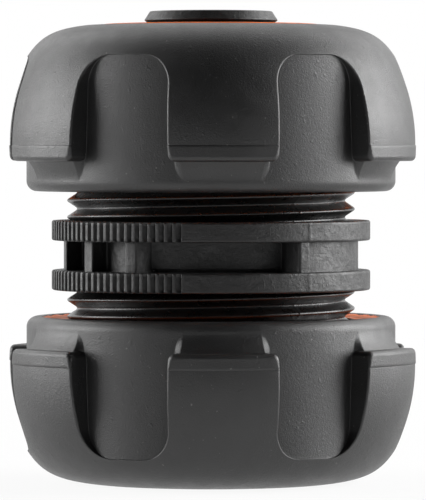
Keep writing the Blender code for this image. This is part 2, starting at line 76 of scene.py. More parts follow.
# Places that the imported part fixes, in millimetres
TAIL_END = CAD_BOX[1][2] / MM
MIDDLE = 24.54
RING_FACE = 3.74
COLLAR_END = 14.0
UPPER_RIM = 6.72
LOWER_RIM = 6.44
NUT_HEIGHT = 17.95
LOWER_TAIL_END = 24.04
LOBE_AZIMUTH = 3.5
MOULD_AZIMUTH = -52.6
CREST = {"upper": 4.065, "lower": -4.825}
CREST_AZIMUTH = -90.0
CLEARANCE = 0.45
ENDS = (("upper", 1.0), ("lower", -1.0))

# Smaller shapes, in millimetres and degrees
PARTING_HEIGHT = 1.70
KNURL_START = -41.2
HUB_RADIUS = 12.95
RING_BORE = 12.9
COLLAR_BORE = 12.4
COLLAR_FOOT = 1.92
CHAMFER = 0.6
SEAM_HALF = 0.6
SEAM_WIDTH = 0.3
HUB_DEPTH = 1.76
TIP_RADIUS = 6.57
BARB_RADIUS = 7.2
BARB_ROOT = 6.3
BARB_FALL = 0.5
BARB_STEP = 3.5
BARBS = 4
SUNK = 0.3
BAND_DEPTH = 2.6
GROOVE_DEPTHS = (0.55, 0.55, 0.5)
HOLE_RADIUS = 10.2
TAP_WALL = 16.6
TAP_SPAN = (0.5, 8.2)
MOUTH_RIBS = 36
BAND_BLOCK = -6.85
BAND_RIBS = ((-1.525, 0.025), (4.74, 6.12))
PARTING_SPAN = (-0.15, 1.2)

# The line over a lobe: two cubic curves that meet with one slope
MEET = (-2.53, -3.48)
MEET_SLOPE = (0.531, -0.847)
MEET_HANDLES = (2.78, 2.0)
FACE_HANDLE = (3.23, -0.38)
SIDE_DROP = 8.55
SIDE_INSET = 0.1
STEP_HEIGHT = 0.04

# The skirt and the tongues on it
SKIRT_TAPER = 0.0205
TONGUE_POWER = 1.7
FOOT_POWER = 2.2
FOOT_MORE = 0.10

# How finely the surfaces are sampled
CORE_COLUMNS = 192
INSERT_COLUMNS = 144
FOOT_COLUMNS = 128
THREAD_COLUMNS = 192
THREAD_ROWS = 24
WAVE_STEPS = (8, 12, 28, 12, 20)
STRIP_STEPS = 5
ARC_DEGREES = 1.5
SEAM_OFFSETS = (-0.7, -0.35, 0.0, 0.35, 0.7)
SHARP_ANGLE = 38.0
MERGE = 1.0e-6


# Flat curves and grids


def rounded(corners, steps=6):
    """A closed line of (x, y, radius) corners with each corner of some radius made an arc.

    The arc touches both sides at radius / tan(half the corner's angle) from the corner, or
    nearer where a side is too short, and is swept about its centre in equal steps.
    """
    points = []
    for i, (x, y, size) in enumerate(corners):
        here = np.array((x, y))
        if size == 0.0:
            points.append(here[None])
            continue
        sides = [np.array(corners[i - 1][:2]) - here]
        sides.append(np.array(corners[(i + 1) % len(corners)][:2]) - here)
        lengths = [np.hypot(*side) for side in sides]
        back, ahead = (side / length for side, length in zip(sides, lengths))
        half = 0.5 * np.arccos(np.clip(back @ ahead, -1.0, 1.0))
        reach = min(size / np.tan(half), 0.48 * lengths[0], 0.48 * lengths[1])
        middle = (back + ahead) / np.hypot(*(back + ahead))
        centre = here + middle * reach / np.cos(half)
        start = here + back * reach - centre
        turn = np.sign(ahead[0] * back[1] - ahead[1] * back[0]) or 1.0
        angle = turn * np.linspace(0.0, np.pi - 2.0 * half, steps + 1)
        c, s = np.cos(angle), np.sin(angle)
        arc = np.stack([c * start[0] - s * start[1], s * start[0] + c * start[1]], axis=-1)
        points.append(centre + arc)
    return np.concatenate(points)


def held(line, hold=0.06, longest=1.2):
    """A closed line with a point added just inside each end of its longer sides.

    Sides longer than four holds get one point at the hold's distance from either end, and the
    space between those is split into equal parts no longer than the longest allowed.
    """
    points = []
    for here, after in zip(line, np.roll(line, -1, axis=0)):
        length = np.hypot(*(after - here))
        places = [0.0]
        if length > 4.0 * hold:
            inner = np.linspace(hold, length - hold, max(2, int(length / longest) + 2))
            places += list(inner / length)
        points.append(here + np.array(places)[:, None] * (after - here))
    return np.concatenate(points)


def around(azimuth, radius, height):
    """Points in space from an azimuth in degrees, a radius and a height."""
    angle = np.radians(azimuth)
    x, y, z = np.broadcast_arrays(radius * np.sin(angle), -radius * np.cos(angle), height)
    return np.stack([x, y, z], axis=-1)


def grid_faces(shape, wrap_rows=False, wrap_columns=False):
    """Corner numbers of a grid's four-sided faces, where the grid is numbered row by row."""
    index = np.arange(shape[0] * shape[1]).reshape(shape[:2])
    if wrap_rows:
        index = np.concatenate([index, index[:1]])
    if wrap_columns:
        index = np.concatenate([index, index[:, :1]], axis=1)
    corners = [index[:-1, :-1], index[:-1, 1:], index[1:, 1:], index[1:, :-1]]
    return np.stack(corners, axis=-1).reshape(-1, 4)


def closed(points):
    """A grid of points that closes on itself both ways, as (points, faces)."""
    return points, grid_faces(points.shape, True, True)


def sheet(points):
    """A grid of points with open sides, as (points, faces)."""
    return points, grid_faces(points.shape)


def make_piece(name, patches, material, body, nodes):
    """One object from patches of (points in millimetres, faces), riding on a CAD body."""
    starts = np.cumsum([0] + [points.size // 3 for points, _ in patches])
    points = np.concatenate([points.reshape(-1, 3) for points, _ in patches]) * MM
    faces = np.concatenate([faces + start for (_, faces), start in zip(patches, starts)])
    mesh = bpy.data.meshes.new(name)
    mesh.vertices.add(len(points))
    mesh.vertices.foreach_set("co", points.ravel())
    mesh.loops.add(faces.size)
    mesh.loops.foreach_set("vertex_index", faces.ravel())
    mesh.polygons.add(len(faces))
    mesh.polygons.foreach_set("loop_start", np.arange(0, faces.size, 4))
    mesh.update(calc_edges=True)
    shape = bmesh.new()
    shape.from_mesh(mesh)
    bmesh.ops.remove_doubles(shape, verts=shape.verts, dist=MERGE)
    bmesh.ops.dissolve_degenerate(shape, dist=MERGE / 4.0, edges=shape.edges)
    bmesh.ops.recalc_face_normals(shape, faces=shape.faces)
    shape.to_mesh(mesh)
    shape.free()
    mesh.shade_smooth()
    mesh.set_sharp_from_angle(angle=np.radians(SHARP_ANGLE))
    mesh.materials.append(material)
    piece = bpy.data.objects.new(name, mesh)
    bpy.context.scene.collection.objects.link(piece)
    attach(piece, body)
    if nodes:
        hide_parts(*nodes)


# Shapes shared by several pieces


def turned(corners, columns):
    """A closed ring: a rounded profile of (radius, height, fillet) turned round the axis."""
    profile = held(rounded(corners))
    azimuth = np.arange(columns) * 360.0 / columns
    return closed(around(azimuth[None], profile[:, :1], profile[:, 1:]))


def prism(outline, section, full=None, reach=0.0, groove=0.0):
    """A closed ring whose outline isn't round: (x, y) outline, (inset, height) section.

    Each point of the section gives the whole outline, drawn in towards the axis by its inset.
    Where a full radius is given, the outline's notches close to that radius over the reach
    below the highest and above the lowest row: the share left open is 1 less the square of how
    far a row has come into that reach. A groove is a further inset by row and outline point.
    """
    radius = np.hypot(outline[:, 0], outline[:, 1])
    level = radius[None]
    if full is not None:
        height = section[:, 1:]
        near = np.minimum(height - height.min(), height.max() - height)
        shut = np.clip(1.0 - near / reach, 0.0, 1.0) ** 2
        level = level + shut * np.maximum(full - level, 0.0)
    scale = (level - section[:, :1] - groove) / radius[None]
    x = outline[None, :, 0] * scale
    y = outline[None, :, 1] * scale
    z = np.broadcast_to(section[:, 1:], x.shape)
    return closed(np.stack([x, y, z], axis=-1))


def ridge(offset, pitch, flat, soft):
    """Height of a thread's ridge, 0 to 1, by distance from its crest.

    A straight flank between a flat crest and a flat root, averaged over the soft distance.
    """
    slope = (pitch - flat) / 2.0 - flat / 2.0
    spread = np.linspace(-soft, soft, 9)
    distance = np.abs(offset[..., None] + spread)
    distance = np.minimum(distance, pitch - distance)
    return np.clip(((pitch - flat) / 2.0 - distance) / slope, 0.0, 1.0).mean(axis=-1)


def thread_ring(sizes, crest, low, high, root, wall, ends, seam=None):
    """A right-hand threaded ring from low to high, as a sheared grid whose rows are helices.

    Row w at azimuth a lies at start + w * step + pitch * a / 360, so each row keeps its place
    on the ridge, and the last column meets the first one pitch higher. Heights are clamped to
    the two ends; rows that lie beyond an end by more than a step move to the wall radius, and
    the last row joins the first along that wall. The ends are pairs of a radius and a sign: the
    surface there stays inside (1) or outside (-1) a 45 degree chamfer that starts at it.
    """
    pitch, depth, flat = (value / MM for value in (sizes.pitch, sizes.depth, sizes.flat))
    step = pitch / THREAD_ROWS
    start = low - pitch - 2.0 * step
    rows = int(np.ceil((high + 2.0 * step - start) / step)) + 1
    azimuth = np.linspace(0.0, 360.0, THREAD_COLUMNS + 1)
    if seam is not None:
        extra = (np.array(seam)[:, None] + np.array(SEAM_OFFSETS)).ravel()
        azimuth = np.unique(np.concatenate([azimuth, extra]))
    raw = start + np.arange(rows)[:, None] * step + pitch * azimuth[None] / 360.0
    place = (raw - crest) / pitch - (azimuth[None] - CREST_AZIMUTH) / 360.0
    offset = (place - np.round(place)) * pitch
    radius = root + depth * ridge(offset, pitch, flat, sizes.soft / MM)
    if seam is not None:
        away = (azimuth[:, None] - np.array(seam)[None]).T
        radius = radius + sizes.flash / MM * np.exp(-((away / SEAM_WIDTH) ** 2)).sum(axis=0)[None]
    for (limit, sign), beyond in zip(ends, (raw - low, high - raw)):
        if sign:
            chamfer = limit + sign * np.maximum(beyond, 0.0)
            radius = np.minimum(radius, chamfer) if sign > 0 else np.maximum(radius, chamfer)
    outside = (raw > high + step) | (raw < low - step)
    radius = np.where(outside, wall, radius)
    points = around(azimuth[None], radius, np.clip(raw, low, high))
    return points, grid_faces(points.shape, wrap_rows=True)


def raised(patches, lift, flip=False):
    """Patches moved up by a distance, or turned upside down first."""
    sign = -1.0 if flip else 1.0
    return [(points * (1.0, 1.0, sign) + (0.0, 0.0, lift), faces) for points, faces in patches]


# Nut shell


def dome_line(sizes):
    """The shell's outside from its face edge down over a lobe: distance along, radius, height.

    A cubic curve from the face over the shoulder and a second one down the side meet with one
    tangent, then a straight line with the parting step reaches the lobe's lower edge.
    """
    lobe = sizes.lobe_radius / MM
    wall = lobe - SIDE_INSET
    parting = sizes.lobe_bottom / MM + PARTING_HEIGHT
    face = np.array((sizes.face_radius / MM, NUT_HEIGHT))
    meet = np.array((lobe, NUT_HEIGHT)) + MEET
    before, after = (reach * np.array(MEET_SLOPE) for reach in MEET_HANDLES)
    shoulder = (face, face + FACE_HANDLE, meet - before, meet)
    side = (meet, meet + after, (wall, NUT_HEIGHT - SIDE_DROP), (wall, parting))
    t = np.linspace(0.0, 1.0, 120)[:, None]
    s = 1.0 - t
    weights = (s**3, 3 * s * s * t, 3 * s * t * t, t**3)
    curves = [sum(w * np.array(end) for w, end in zip(weights, ends)) for ends in (shoulder, side)]
    curve = np.concatenate([curves[0], curves[1][1:]])
    lower = [(wall + sizes.parting_step / MM, parting - STEP_HEIGHT)]
    lower += [(lobe, sizes.lobe_bottom / MM), (lobe, -1.0)]
    line = np.concatenate([curve, lower])
    lengths = np.hypot(*np.diff(line, axis=0).T)
    return np.concatenate([[0.0], np.cumsum(lengths)]), line[:, 0], line[:, 1]


def spokes(first, last, steps):
    """Unit vectors at equal steps of angle, in degrees, without the last one."""
    angle = np.radians(np.linspace(first, last, steps + 1))[:-1]
    return np.stack([np.cos(angle), np.sin(angle)], axis=-1)


def edge_wave(sizes, scale):
    """The edge between raised and low surfaces over one lobe, developed flat.

    Left half, from the middle of a recess to the middle of the lobe: along the arch, round its
    corner, down the wall, round the lobe's lower corner and along its lower edge. The walls
    lean, so a lobe is wider at the top. The right half mirrors it. Returns the points and the
    unit normals towards the raised side.
    """
    half = scale * 180.0 / sizes.lobes
    wall = -scale * sizes.lobe_half
    top = sizes.arch_top / MM
    corner = sizes.arch_corner / MM
    bottom = sizes.lobe_bottom / MM
    nick = sizes.lobe_corner / MM
    parting = bottom + PARTING_HEIGHT
    start, turn, side, bend, run = WAVE_STEPS
    flat = np.linspace(-half, wall - corner, start + 1)[:-1]
    pieces = [np.stack([flat, np.full_like(flat, top)], axis=-1)]
    normals = [np.tile((0.0, 1.0), (start, 1))]
    spoke = spokes(90.0, 0.0, turn)
    pieces.append((wall - corner, top - corner) + corner * spoke)
    normals.append(spoke)
    upper = np.linspace(top - corner, parting + STEP_HEIGHT, side - 5)
    lower = np.linspace(parting - STEP_HEIGHT, bottom + nick, 6)
    down = np.concatenate([upper, [parting], lower])[:-1]
    pieces.append(np.stack([np.full_like(down, wall), down], axis=-1))
    normals.append(np.tile((1.0, 0.0), (len(down), 1)))
    spoke = spokes(180.0, 270.0, bend)
    pieces.append((wall + nick, bottom + nick) + nick * spoke)
    normals.append(-spoke)
    marks = [wall + nick, -scale * sizes.edge_half, 0.0]
    spans = [np.linspace(a, b, n + 1)[:-1] for a, b, n in zip(marks, marks[1:], (6, run - 6))]
    along = np.concatenate(spans + [[0.0]])
    pieces.append(np.stack([along, np.full_like(along, bottom)], axis=-1))
    normals.append(np.tile((0.0, 1.0), (run + 1, 1)))
    points = np.concatenate(pieces)
    normal = np.concatenate(normals)
    tent = np.minimum((points[:, 0] + half) / (wall + half), points[:, 0] / wall)
    points[:, 0] -= scale * sizes.wall_lean * (points[:, 1] - 0.5 * (top + bottom)) * tent
    points = np.concatenate([points, points[-2::-1] * (-1.0, 1.0)])
    normal = np.concatenate([normal, normal[-2::-1] * (-1.0, 1.0)])
    return points, normal


def blended(first, last, shares):
    """Rows between two lines of points at the given shares of the way."""
    shares = np.asarray(shares)[:, None, None]
    return first[None] * (1.0 - shares) + last[None] * shares


def coons(bottom, top, left, right):
    """A patch between four lines of points: ruled both ways, less the corners' own patch."""
    u = np.linspace(0.0, 1.0, len(bottom))[None, :, None]
    v = np.linspace(0.0, 1.0, len(left))[:, None, None]
    ruled = (1 - v) * bottom[None] + v * top[None] + (1 - u) * left[:, None] + u * right[:, None]
    corners = (1 - u) * (1 - v) * bottom[0] + u * (1 - v) * bottom[-1]
    corners = corners + (1 - u) * v * top[0] + u * v * top[-1]
    return ruled - corners


def low_radius(sizes, scale, s, h):
    """Radius of the low surface: the tapered recess floor and skirt, and the tongue on it.

    The tongue is a ramp, hollow along its height, that falls to the skirt across its sides
    between an inner edge line and a foot line, which narrows in a curve towards the tip.
    """
    tip, bottom = sizes.tongue_tip / MM, sizes.lobe_bottom / MM
    skirt = sizes.skirt_radius / MM - SKIRT_TAPER * np.clip(h - bottom, 0.0, None)
    share = np.clip((h - tip) / (bottom - tip), 0.0, 1.0)
    ramp = sizes.tongue_height / MM * share**TONGUE_POWER
    foot, edge = tongue_lines(sizes, scale, share)
    fall = np.clip((foot - np.abs(s)) / (foot - edge), 0.0, 1.0)
    return skirt + ramp * fall


def tongue_lines(sizes, scale, share):
    """The tongue's foot and edge, as distances from the lobe's middle, by share of its height."""
    tip = scale * sizes.tip_half
    wider = scale * sizes.foot_half - tip - FOOT_MORE
    foot = tip + FOOT_MORE + wider * (1.0 - (1.0 - share) ** FOOT_POWER)
    edge = tip + (scale * sizes.edge_half - tip) * share
    return foot, edge


class ShellForm:
    """The surfaces of a soft shell over a flat plane of (distance round, height).

    The dome is dome_line's profile turned round the axis, where the plane's height is the
    distance along that line. The floor is the low surface of low_radius.
    """

    def __init__(self, sizes):
        self.sizes = sizes
        self.scale = np.radians(1.0) * (sizes.skirt_radius / MM + 0.8)
        self.along, self.radius, self.height = dome_line(sizes)

    def dome_at(self, height):
        return np.interp(height, self.height[::-1], self.radius[::-1])

    def along_at(self, height):
        return np.interp(height, self.height[::-1], self.along[::-1])

    def floor_at(self, plane):
        return low_radius(self.sizes, self.scale, plane[..., 0], plane[..., 1])

    def lifted(self, plane, radius):
        return around(plane[..., 0] / self.scale, radius, plane[..., 1])

    def on_dome(self, plane):
        radius = np.interp(plane[..., 1], self.along, self.radius)
        height = np.interp(plane[..., 1], self.along, self.height)
        return around(plane[..., 0] / self.scale, radius, height)

    def on_floor(self, plane):
        return self.lifted(plane, self.floor_at(plane))


def shares_of(line):
    """How far each point of a line has come from its first point round to its last."""
    return ((line[:, 0] - line[0, 0]) / (line[-1, 0] - line[0, 0]))[:, None]


def edge_strips(form, wave, normal):
    """The edge's rounding, the wall and the floor's fillet, and the two waves beside them.

    Both roundings are quarter circles: at angle q a point is (1 - cos q) radii away from the
    wave, and (1 - sin q) radii below the dome or above the floor.
    """
    sizes = form.sizes
    depth = form.dome_at(wave[:, 1]) - form.floor_at(wave)
    low_share = np.clip((sizes.lobe_bottom / MM + 1.5 - wave[:, 1]) / 1.1, 0.0, 1.0)
    edge = sizes.edge_round + (sizes.bottom_round - sizes.edge_round) * low_share
    edge = np.minimum(edge / MM, 0.4 * depth)
    fillet = np.minimum(sizes.floor_round / MM, 0.3 * depth)
    quarter = np.linspace(0.0, 0.5 * np.pi, STRIP_STEPS + 1)[:, None]
    away, beyond = 1.0 - np.cos(quarter), 1.0 - np.sin(quarter)
    plane = wave + normal * (edge * away)[..., None]
    top = form.lifted(plane, form.dome_at(plane[..., 1]) - edge * beyond)
    plane = wave - normal * (fillet * away)[..., None]
    foot = form.lifted(plane, form.floor_at(plane) + fillet * beyond)
    wall = blended(foot[0], top[0], (0.0, 0.03, 0.35, 0.65, 0.97, 1.0))
    return [top, wall, foot], wave + normal * edge[:, None], wave - normal * fillet[:, None]


def raised_blocks(form, high):
    """The lobe's face, the dome above it and the dome's last line, at the face's edge."""
    start, turn, side, bend, _ = WAVE_STEPS
    last = len(high) - 1
    wall_top = start + turn
    split = wall_top + side + bend // 2
    line = np.stack([high[:, 0], form.along_at(high[:, 1])], axis=-1)

    # The lobe's sides are the walls and half of each lower corner
    left = line[wall_top : split + 1]
    right = line[last - split : last - wall_top + 1][::-1]
    bottom = line[split : last - split + 1]
    across = left[0] + shares_of(bottom) * (right[0] - left[0])
    lobe = coons(bottom, across, left[::-1], right[::-1])

    # The dome rises from the arches and the lobe's top line
    base = np.concatenate([line[:wall_top], across, line[last - wall_top + 1 :]])
    lengths = np.concatenate([[0.0], np.cumsum(np.hypot(*np.diff(base, axis=0).T))])
    even = base[0, 0] + (base[-1, 0] - base[0, 0]) * lengths / lengths[-1]
    face = np.stack([0.5 * (base[:, 0] + even), np.zeros(len(base))], axis=-1)
    dome = blended(base, face, np.concatenate([[0.0, 0.004, 0.015], np.linspace(0.04, 1, 32)]))
    return [form.on_dome(lobe), form.on_dome(dome)], face


def recess_halves(low):
    """The floor of a recess in two halves, each from the arch to the wall's lower end."""
    start, turn, side, _, _ = WAVE_STEPS
    knee = start + turn // 2
    wall_end = start + turn + side
    halves = []
    for half in (low, low[::-1]):
        top = half[: knee + 1]
        outer = half[knee : wall_end + 1]
        fall = (top[0, 1] - half[wall_end, 1]) / (outer[0, 1] - outer[-1, 1])
        middle_height = top[0, 1] - (outer[0, 1] - outer[:, 1]) * fall
        middle = np.stack([np.full(len(outer), top[0, 0]), middle_height], axis=-1)
        floor = middle[-1] + shares_of(top) * (outer[-1] - middle[-1])
        halves.append(coons(floor, top, middle[::-1], outer[::-1]))
    return halves


def skirt_rows(form, top):
    """The skirt from its top line to the rim's rounding, with columns along the tongue's edges.

    Each row keeps the top line's spacing between marks at the recess's middle, the wall, and
    the tongue's foot and edge, which move together as the tongue narrows.
    """
    sizes, scale = form.sizes, form.scale
    tip = sizes.tongue_tip / MM
    shares = np.concatenate([[0.0, 0.02, 0.06], np.linspace(0.12, 1.0, 16)])[:, None]
    rim = (sizes.rim_low + sizes.rim_round) / MM
    height = top[None, :, 1] * (1 - shares) + rim * shares
    rows = []
    ends = (top[-1, 0], scale * sizes.lobe_half)
    knots = np.array([*ends, *tongue_lines(sizes, scale, 1.0), 0.0])
    for level in height:
        share = np.clip((level.min() - tip) / (sizes.lobe_bottom / MM - tip), 0.0, 1.0)
        moved = np.array([*ends, *tongue_lines(sizes, scale, share), 0.0])
        pair = [np.concatenate([-marks, marks[-2::-1]]) for marks in (knots, moved)]
        rows.append(np.interp(top[:, 0], *pair))
    return np.stack([np.array(rows), height], axis=-1)


def rim_and_inside(form, skirt_line, face):
    """The rim, the inside and the hole, on columns that pass from the skirt's to the dome's."""
    sizes = form.sizes
    inner, hole, low = sizes.rim_inside / MM, sizes.hole_radius / MM, sizes.rim_low / MM
    skirt, rim_round = sizes.skirt_radius / MM, sizes.rim_round / MM
    angle = np.linspace(0.0, 0.5 * np.pi, 9)
    rim = np.stack([np.cos(angle) - 1.0, 1.0 - np.sin(angle)], axis=-1) * rim_round
    corners = [
        (skirt - rim_round, low, 0.0), (inner, low, 0.15), (inner, 12.9, 0.3), (14.2, 16.5, 0.3),
        (hole, 16.5, 0.2), (hole, NUT_HEIGHT, 0.2), (sizes.face_radius / MM, NUT_HEIGHT, 0.0),
    ]
    line = np.concatenate([(rim + (skirt, low))[:-1], rounded(corners, 5)])
    passing = np.linspace(0.0, 1.0, len(line))[:, None]
    azimuth = ((1 - passing) * skirt_line[:, 0] + passing * face[:, 0]) / form.scale
    return around(azimuth, line[:, :1], line[:, 1:])


def nut_shell(sizes):
    """The soft shell in its own frame: heights from its rim, one lobe facing azimuth 0.

    Blocks of quads, each in a flat plane of (distance round, height), are lifted to the radius
    of the dome or of the low surface: the dome and the lobe face above the edge wave, the
    recess and the skirt below it, and between them a strip with the edge's rounding, the wall
    and the floor's fillet. The rim, the inside and the hole close the shell.
    """
    form = ShellForm(sizes)
    wave, normal = edge_wave(sizes, form.scale)
    strips, high, low = edge_strips(form, wave, normal)
    blocks, face = raised_blocks(form, high)
    halves = recess_halves(low)
    wall_end = sum(WAVE_STEPS[:3])
    edge = low[wall_end + 1 : len(low) - 1 - wall_end]
    skirt = skirt_rows(form, np.concatenate([halves[0][0], edge, halves[1][0][::-1]]))
    blocks += [form.on_floor(skirt), rim_and_inside(form, skirt[-1], face)]
    blocks += [form.on_floor(half) for half in halves]
    one = [sheet(points) for points in strips + blocks]
    turns = np.arange(sizes.lobes) * 360.0 / sizes.lobes
    return [patch for turn in turns for patch in turned_by(one, turn)]


def turned_by(patches, degrees):
    """Patches turned round the axis towards larger azimuths."""
    c, s = np.cos(np.radians(degrees)), np.sin(np.radians(degrees))
    spin = np.array([[c, s, 0], [-s, c, 0], [0, 0, 1]])
    return [(points @ spin, faces) for points, faces in patches]


# Connector


def ring_outline(sizes):
    """Outline of a grip ring: two opposite fields of knurled ridges, smooth arcs between.

    Each ridge is a flat between two notches, whose walls run parallel to the direction in
    which the mould opens; every corner is rounded.
    """
    radius = sizes.ring_radius / MM
    root = radius - sizes.knurl_depth / MM
    field = []
    for i in range(sizes.knurls):
        left = KNURL_START + i * sizes.knurl_step
        right = left + sizes.knurl_land
        field += [(radius, left, 0.07), (radius, right, 0.07)]
        if i < sizes.knurls - 1:
            across = radius * np.sin(np.radians((right, left + sizes.knurl_step)))
            feet = np.degrees(np.arcsin(across / root))
            field.append((root, feet.mean(), 0.06))
    last = field[-1][1]
    end = KNURL_START + 180.0
    smooth = np.arange(last + ARC_DEGREES, end - ARC_DEGREES / 2.0, ARC_DEGREES)
    smooth = smooth[np.abs(smooth - 90.0) > 1.5 * SEAM_HALF]
    seam = [(radius, 90.0 - SEAM_HALF), (radius, 90.0 + SEAM_HALF)]
    seam.append((radius + sizes.flash / MM, 90.0))
    arc = sorted([(radius, degrees) for degrees in smooth] + seam, key=lambda item: item[1])
    field += [(r, degrees, 0.0) for r, degrees in arc]
    corners = []
    for half_turn in (0.0, 180.0):
        for r, degrees, size in field:
            x, y, _ = around(MOULD_AZIMUTH + degrees + half_turn, r, 0.0)
            corners.append((float(x), float(y), size))
    return rounded(corners, 3)


def ring_section(outer, inner, low, high, fillet):
    """Section of a grip ring as (inset from the outline, height), rounded at both edges."""
    inset = outer - inner
    corners = [(inset, low, 0.0), (0.0, low, fillet), (0.0, high, fillet), (inset, high, 0.0)]
    return held(rounded(corners, 5), longest=0.12)


def band_outline(sizes):
    """Outline of the band between the rings, worked out in the mould's own frame.

    A block and two ribs stand on the drum, with walls parallel to the direction in which the
    mould opens and outer faces on one circle; a taller rib stands along the parting plane. The
    second half is the first turned half round.
    """
    outer = sizes.band_radius / MM
    drum = sizes.drum_radius / MM
    corners = []

    def wall(x, up):
        radii = (drum, outer) if up else (outer, drum)
        for r in radii:
            corners.append((x, np.sqrt(r * r - x * x), 0.15 if r == outer else 0.12))

    def arc(r, x0, x1, y1=None):
        first = np.degrees(np.arcsin(x0 / r))
        last = np.degrees(np.arcsin(x1 / r)) if y1 is None else 90.0 - np.degrees(y1 / r)
        count = max(3, int(abs(last - first) / ARC_DEGREES))
        for degrees in np.radians(np.linspace(first, last, count + 1)[1:-1]):
            corners.append((r * np.sin(degrees), r * np.cos(degrees), 0.0))

    back, front = PARTING_SPAN
    tip = sizes.parting_radius / MM
    corners.append((-np.sqrt(outer**2 - back**2), -back, 0.12))
    arc(outer, -outer * 0.9999, BAND_BLOCK)
    wall(BAND_BLOCK, False)
    left = BAND_BLOCK
    for low, high in BAND_RIBS:
        arc(drum, left, low)
        wall(low, True)
        arc(outer, low, high)
        wall(high, False)
        left = high
    arc(drum, left, drum, front)
    corners += [(np.sqrt(drum**2 - front**2), front, 0.05)]
    corners += [(tip, front, 0.25), (tip, back, 0.12)]
    half = np.array(corners)
    whole = np.concatenate([half, half * (-1.0, -1.0, 1.0)])
    angle = np.radians(MOULD_AZIMUTH)
    x = whole[:, 0] * np.cos(angle) + whole[:, 1] * np.sin(angle)
    y = whole[:, 0] * np.sin(angle) - whole[:, 1] * np.cos(angle)
    return held(rounded(list(zip(x, y, whole[:, 2])), 4), 0.12)


def tail_corners(sizes):
    """Profile of the connector's core: bore, drum and the two barbed tails, with fillets."""
    bore = sizes.bore_radius / MM
    shoulder = RING_FACE + HUB_DEPTH
    profile = []
    for tip, sign in ((TAIL_END - MIDDLE, 1.0), (LOWER_TAIL_END, -1.0)):
        side = [(bore, tip - 0.5, 0.1), (bore + 0.5, tip, 0.12), (TIP_RADIUS, tip, 0.2)]
        height = tip - 1.0
        for _ in range(BARBS):
            side += [(BARB_RADIUS, height, 0.12), (BARB_ROOT, height - BARB_FALL, 0.15)]
            height -= BARB_STEP
        side += [(BARB_ROOT, shoulder, 0.4), (HUB_RADIUS, shoulder, 0.1)]
        side = [(r, sign * h, f) for r, h, f in side]
        profile += side if sign > 0 else side[::-1]
    return profile


def connector_core(sizes, material):
    """The water passage, the hub and the two barbed tails, turned as one piece."""
    core = raised([turned(tail_corners(sizes), CORE_COLUMNS)], MIDDLE)
    make_piece("connector_core", core, material, "connector", ("connector_body",))


def connector_rings(sizes, material):
    """The two grip rings, with their fields of ridges."""
    outer = sizes.ring_radius / MM
    outline = ring_outline(sizes)
    for end, sign in ENDS:
        low, high = sorted((sign * sizes.ring_space / MM / 2.0, sign * RING_FACE))
        section = ring_section(outer, RING_BORE, low, high, sizes.ring_round / MM)
        ring = prism(outline, section, outer, sizes.knurl_end / MM)
        name = "connector_ring_" + end
        make_piece(name, raised([ring], MIDDLE), material, "connector", ())


def connector_band(sizes, material):
    """The ribbed band between the rings, sunk a little into both.

    The two long free parts of the drum have a groove along their foot, above the lower ring.
    """
    half = sizes.ring_space / MM / 2.0
    sunk = half + SUNK
    lip = -half + sizes.foot_groove / MM
    section = [(0.0, -sunk), (0.0, -half), (0.0, lip - 0.04), (0.0, lip), (0.0, half), (0.0, sunk)]
    section += [(BAND_DEPTH, sunk), (BAND_DEPTH, -sunk)]
    outline = band_outline(sizes)
    angle = np.radians(MOULD_AZIMUTH)
    across = outline @ np.array((np.cos(angle), np.sin(angle)))
    along = outline @ np.array((np.sin(angle), -np.cos(angle)))
    drum = np.hypot(across, along) < sizes.drum_radius / MM + 0.02
    beyond = across * np.sign(along) > BAND_RIBS[-1][1] + 0.18
    free = drum & beyond & (np.abs(along) > PARTING_SPAN[1] + 0.1)
    depth = np.zeros((len(section), 1))
    depth[:3, 0] = GROOVE_DEPTHS
    band = prism(outline, np.array(section), groove=depth * free)
    make_piece("connector_band", raised([band], MIDDLE), material, "connector", ())


def connector_threads(sizes, material):
    """The two threaded collars, chamfered at their outer ends, with the mould's seams."""
    seam = tuple((MOULD_AZIMUTH + turn) % 360.0 for turn in (90.0, 270.0))
    root = sizes.root_radius / MM
    for end, sign in ENDS:
        low, high = sorted((sign * (RING_FACE - COLLAR_FOOT), sign * COLLAR_END))
        ends = ((0.0, 0.0), (root - CHAMFER, 1.0))[:: int(sign)]
        collar = thread_ring(sizes, CREST[end], low, high, root, COLLAR_BORE, ends, seam)
        name = "connector_thread_" + end
        make_piece(name, raised([collar], MIDDLE), material, "connector", ())


# Nut cores and collets


def core_corners():
    """Profile of a nut core from its rim: wall outside its thread, relief, cone, hole, nose."""
    return [
        (16.35, 0.9, 0.1), (16.35, 8.0, 0.0), (16.2, 8.0, 0.0), (16.2, 10.56, 0.1),
        (12.6, 10.56, 0.1), (10.5, 16.0, 0.1), (HOLE_RADIUS, 16.0, 0.05),
        (HOLE_RADIUS, 17.75, 0.1), (10.55, 18.1, 0.15), (11.6, 18.1, 0.3), (12.0, 17.2, 0.3),
        (12.0, 16.2, 0.2), (13.9, 16.2, 0.2), (17.9, 12.9, 0.3), (17.9, 0.9, 0.1),
    ]


def mouth_ribs():
    """Small ribs on the core's mouth, as one low ring whose height steps round it.

    Height by azimuth is a raised cosine sharpened into flats, so ribs alternate with notches.
    """
    azimuth = np.arange(MOUTH_RIBS * 12) * 30.0 / MOUTH_RIBS
    wave = np.clip(0.8 + 1.6 * np.cos(np.radians(azimuth * MOUTH_RIBS)), 0.0, 1.0)
    radius = np.array([16.5, 16.5, 16.6, 17.0, 18.0, 18.12, 18.12])[:, None]
    top = np.array([1.3, 0.55, 0.46, 0.40, 0.22, 0.26, 1.3])[:, None]
    height = top + np.where(top < 0.5, 0.07 * (1.0 - wave[None]), 0.0)
    return closed(around(azimuth[None], radius, height))


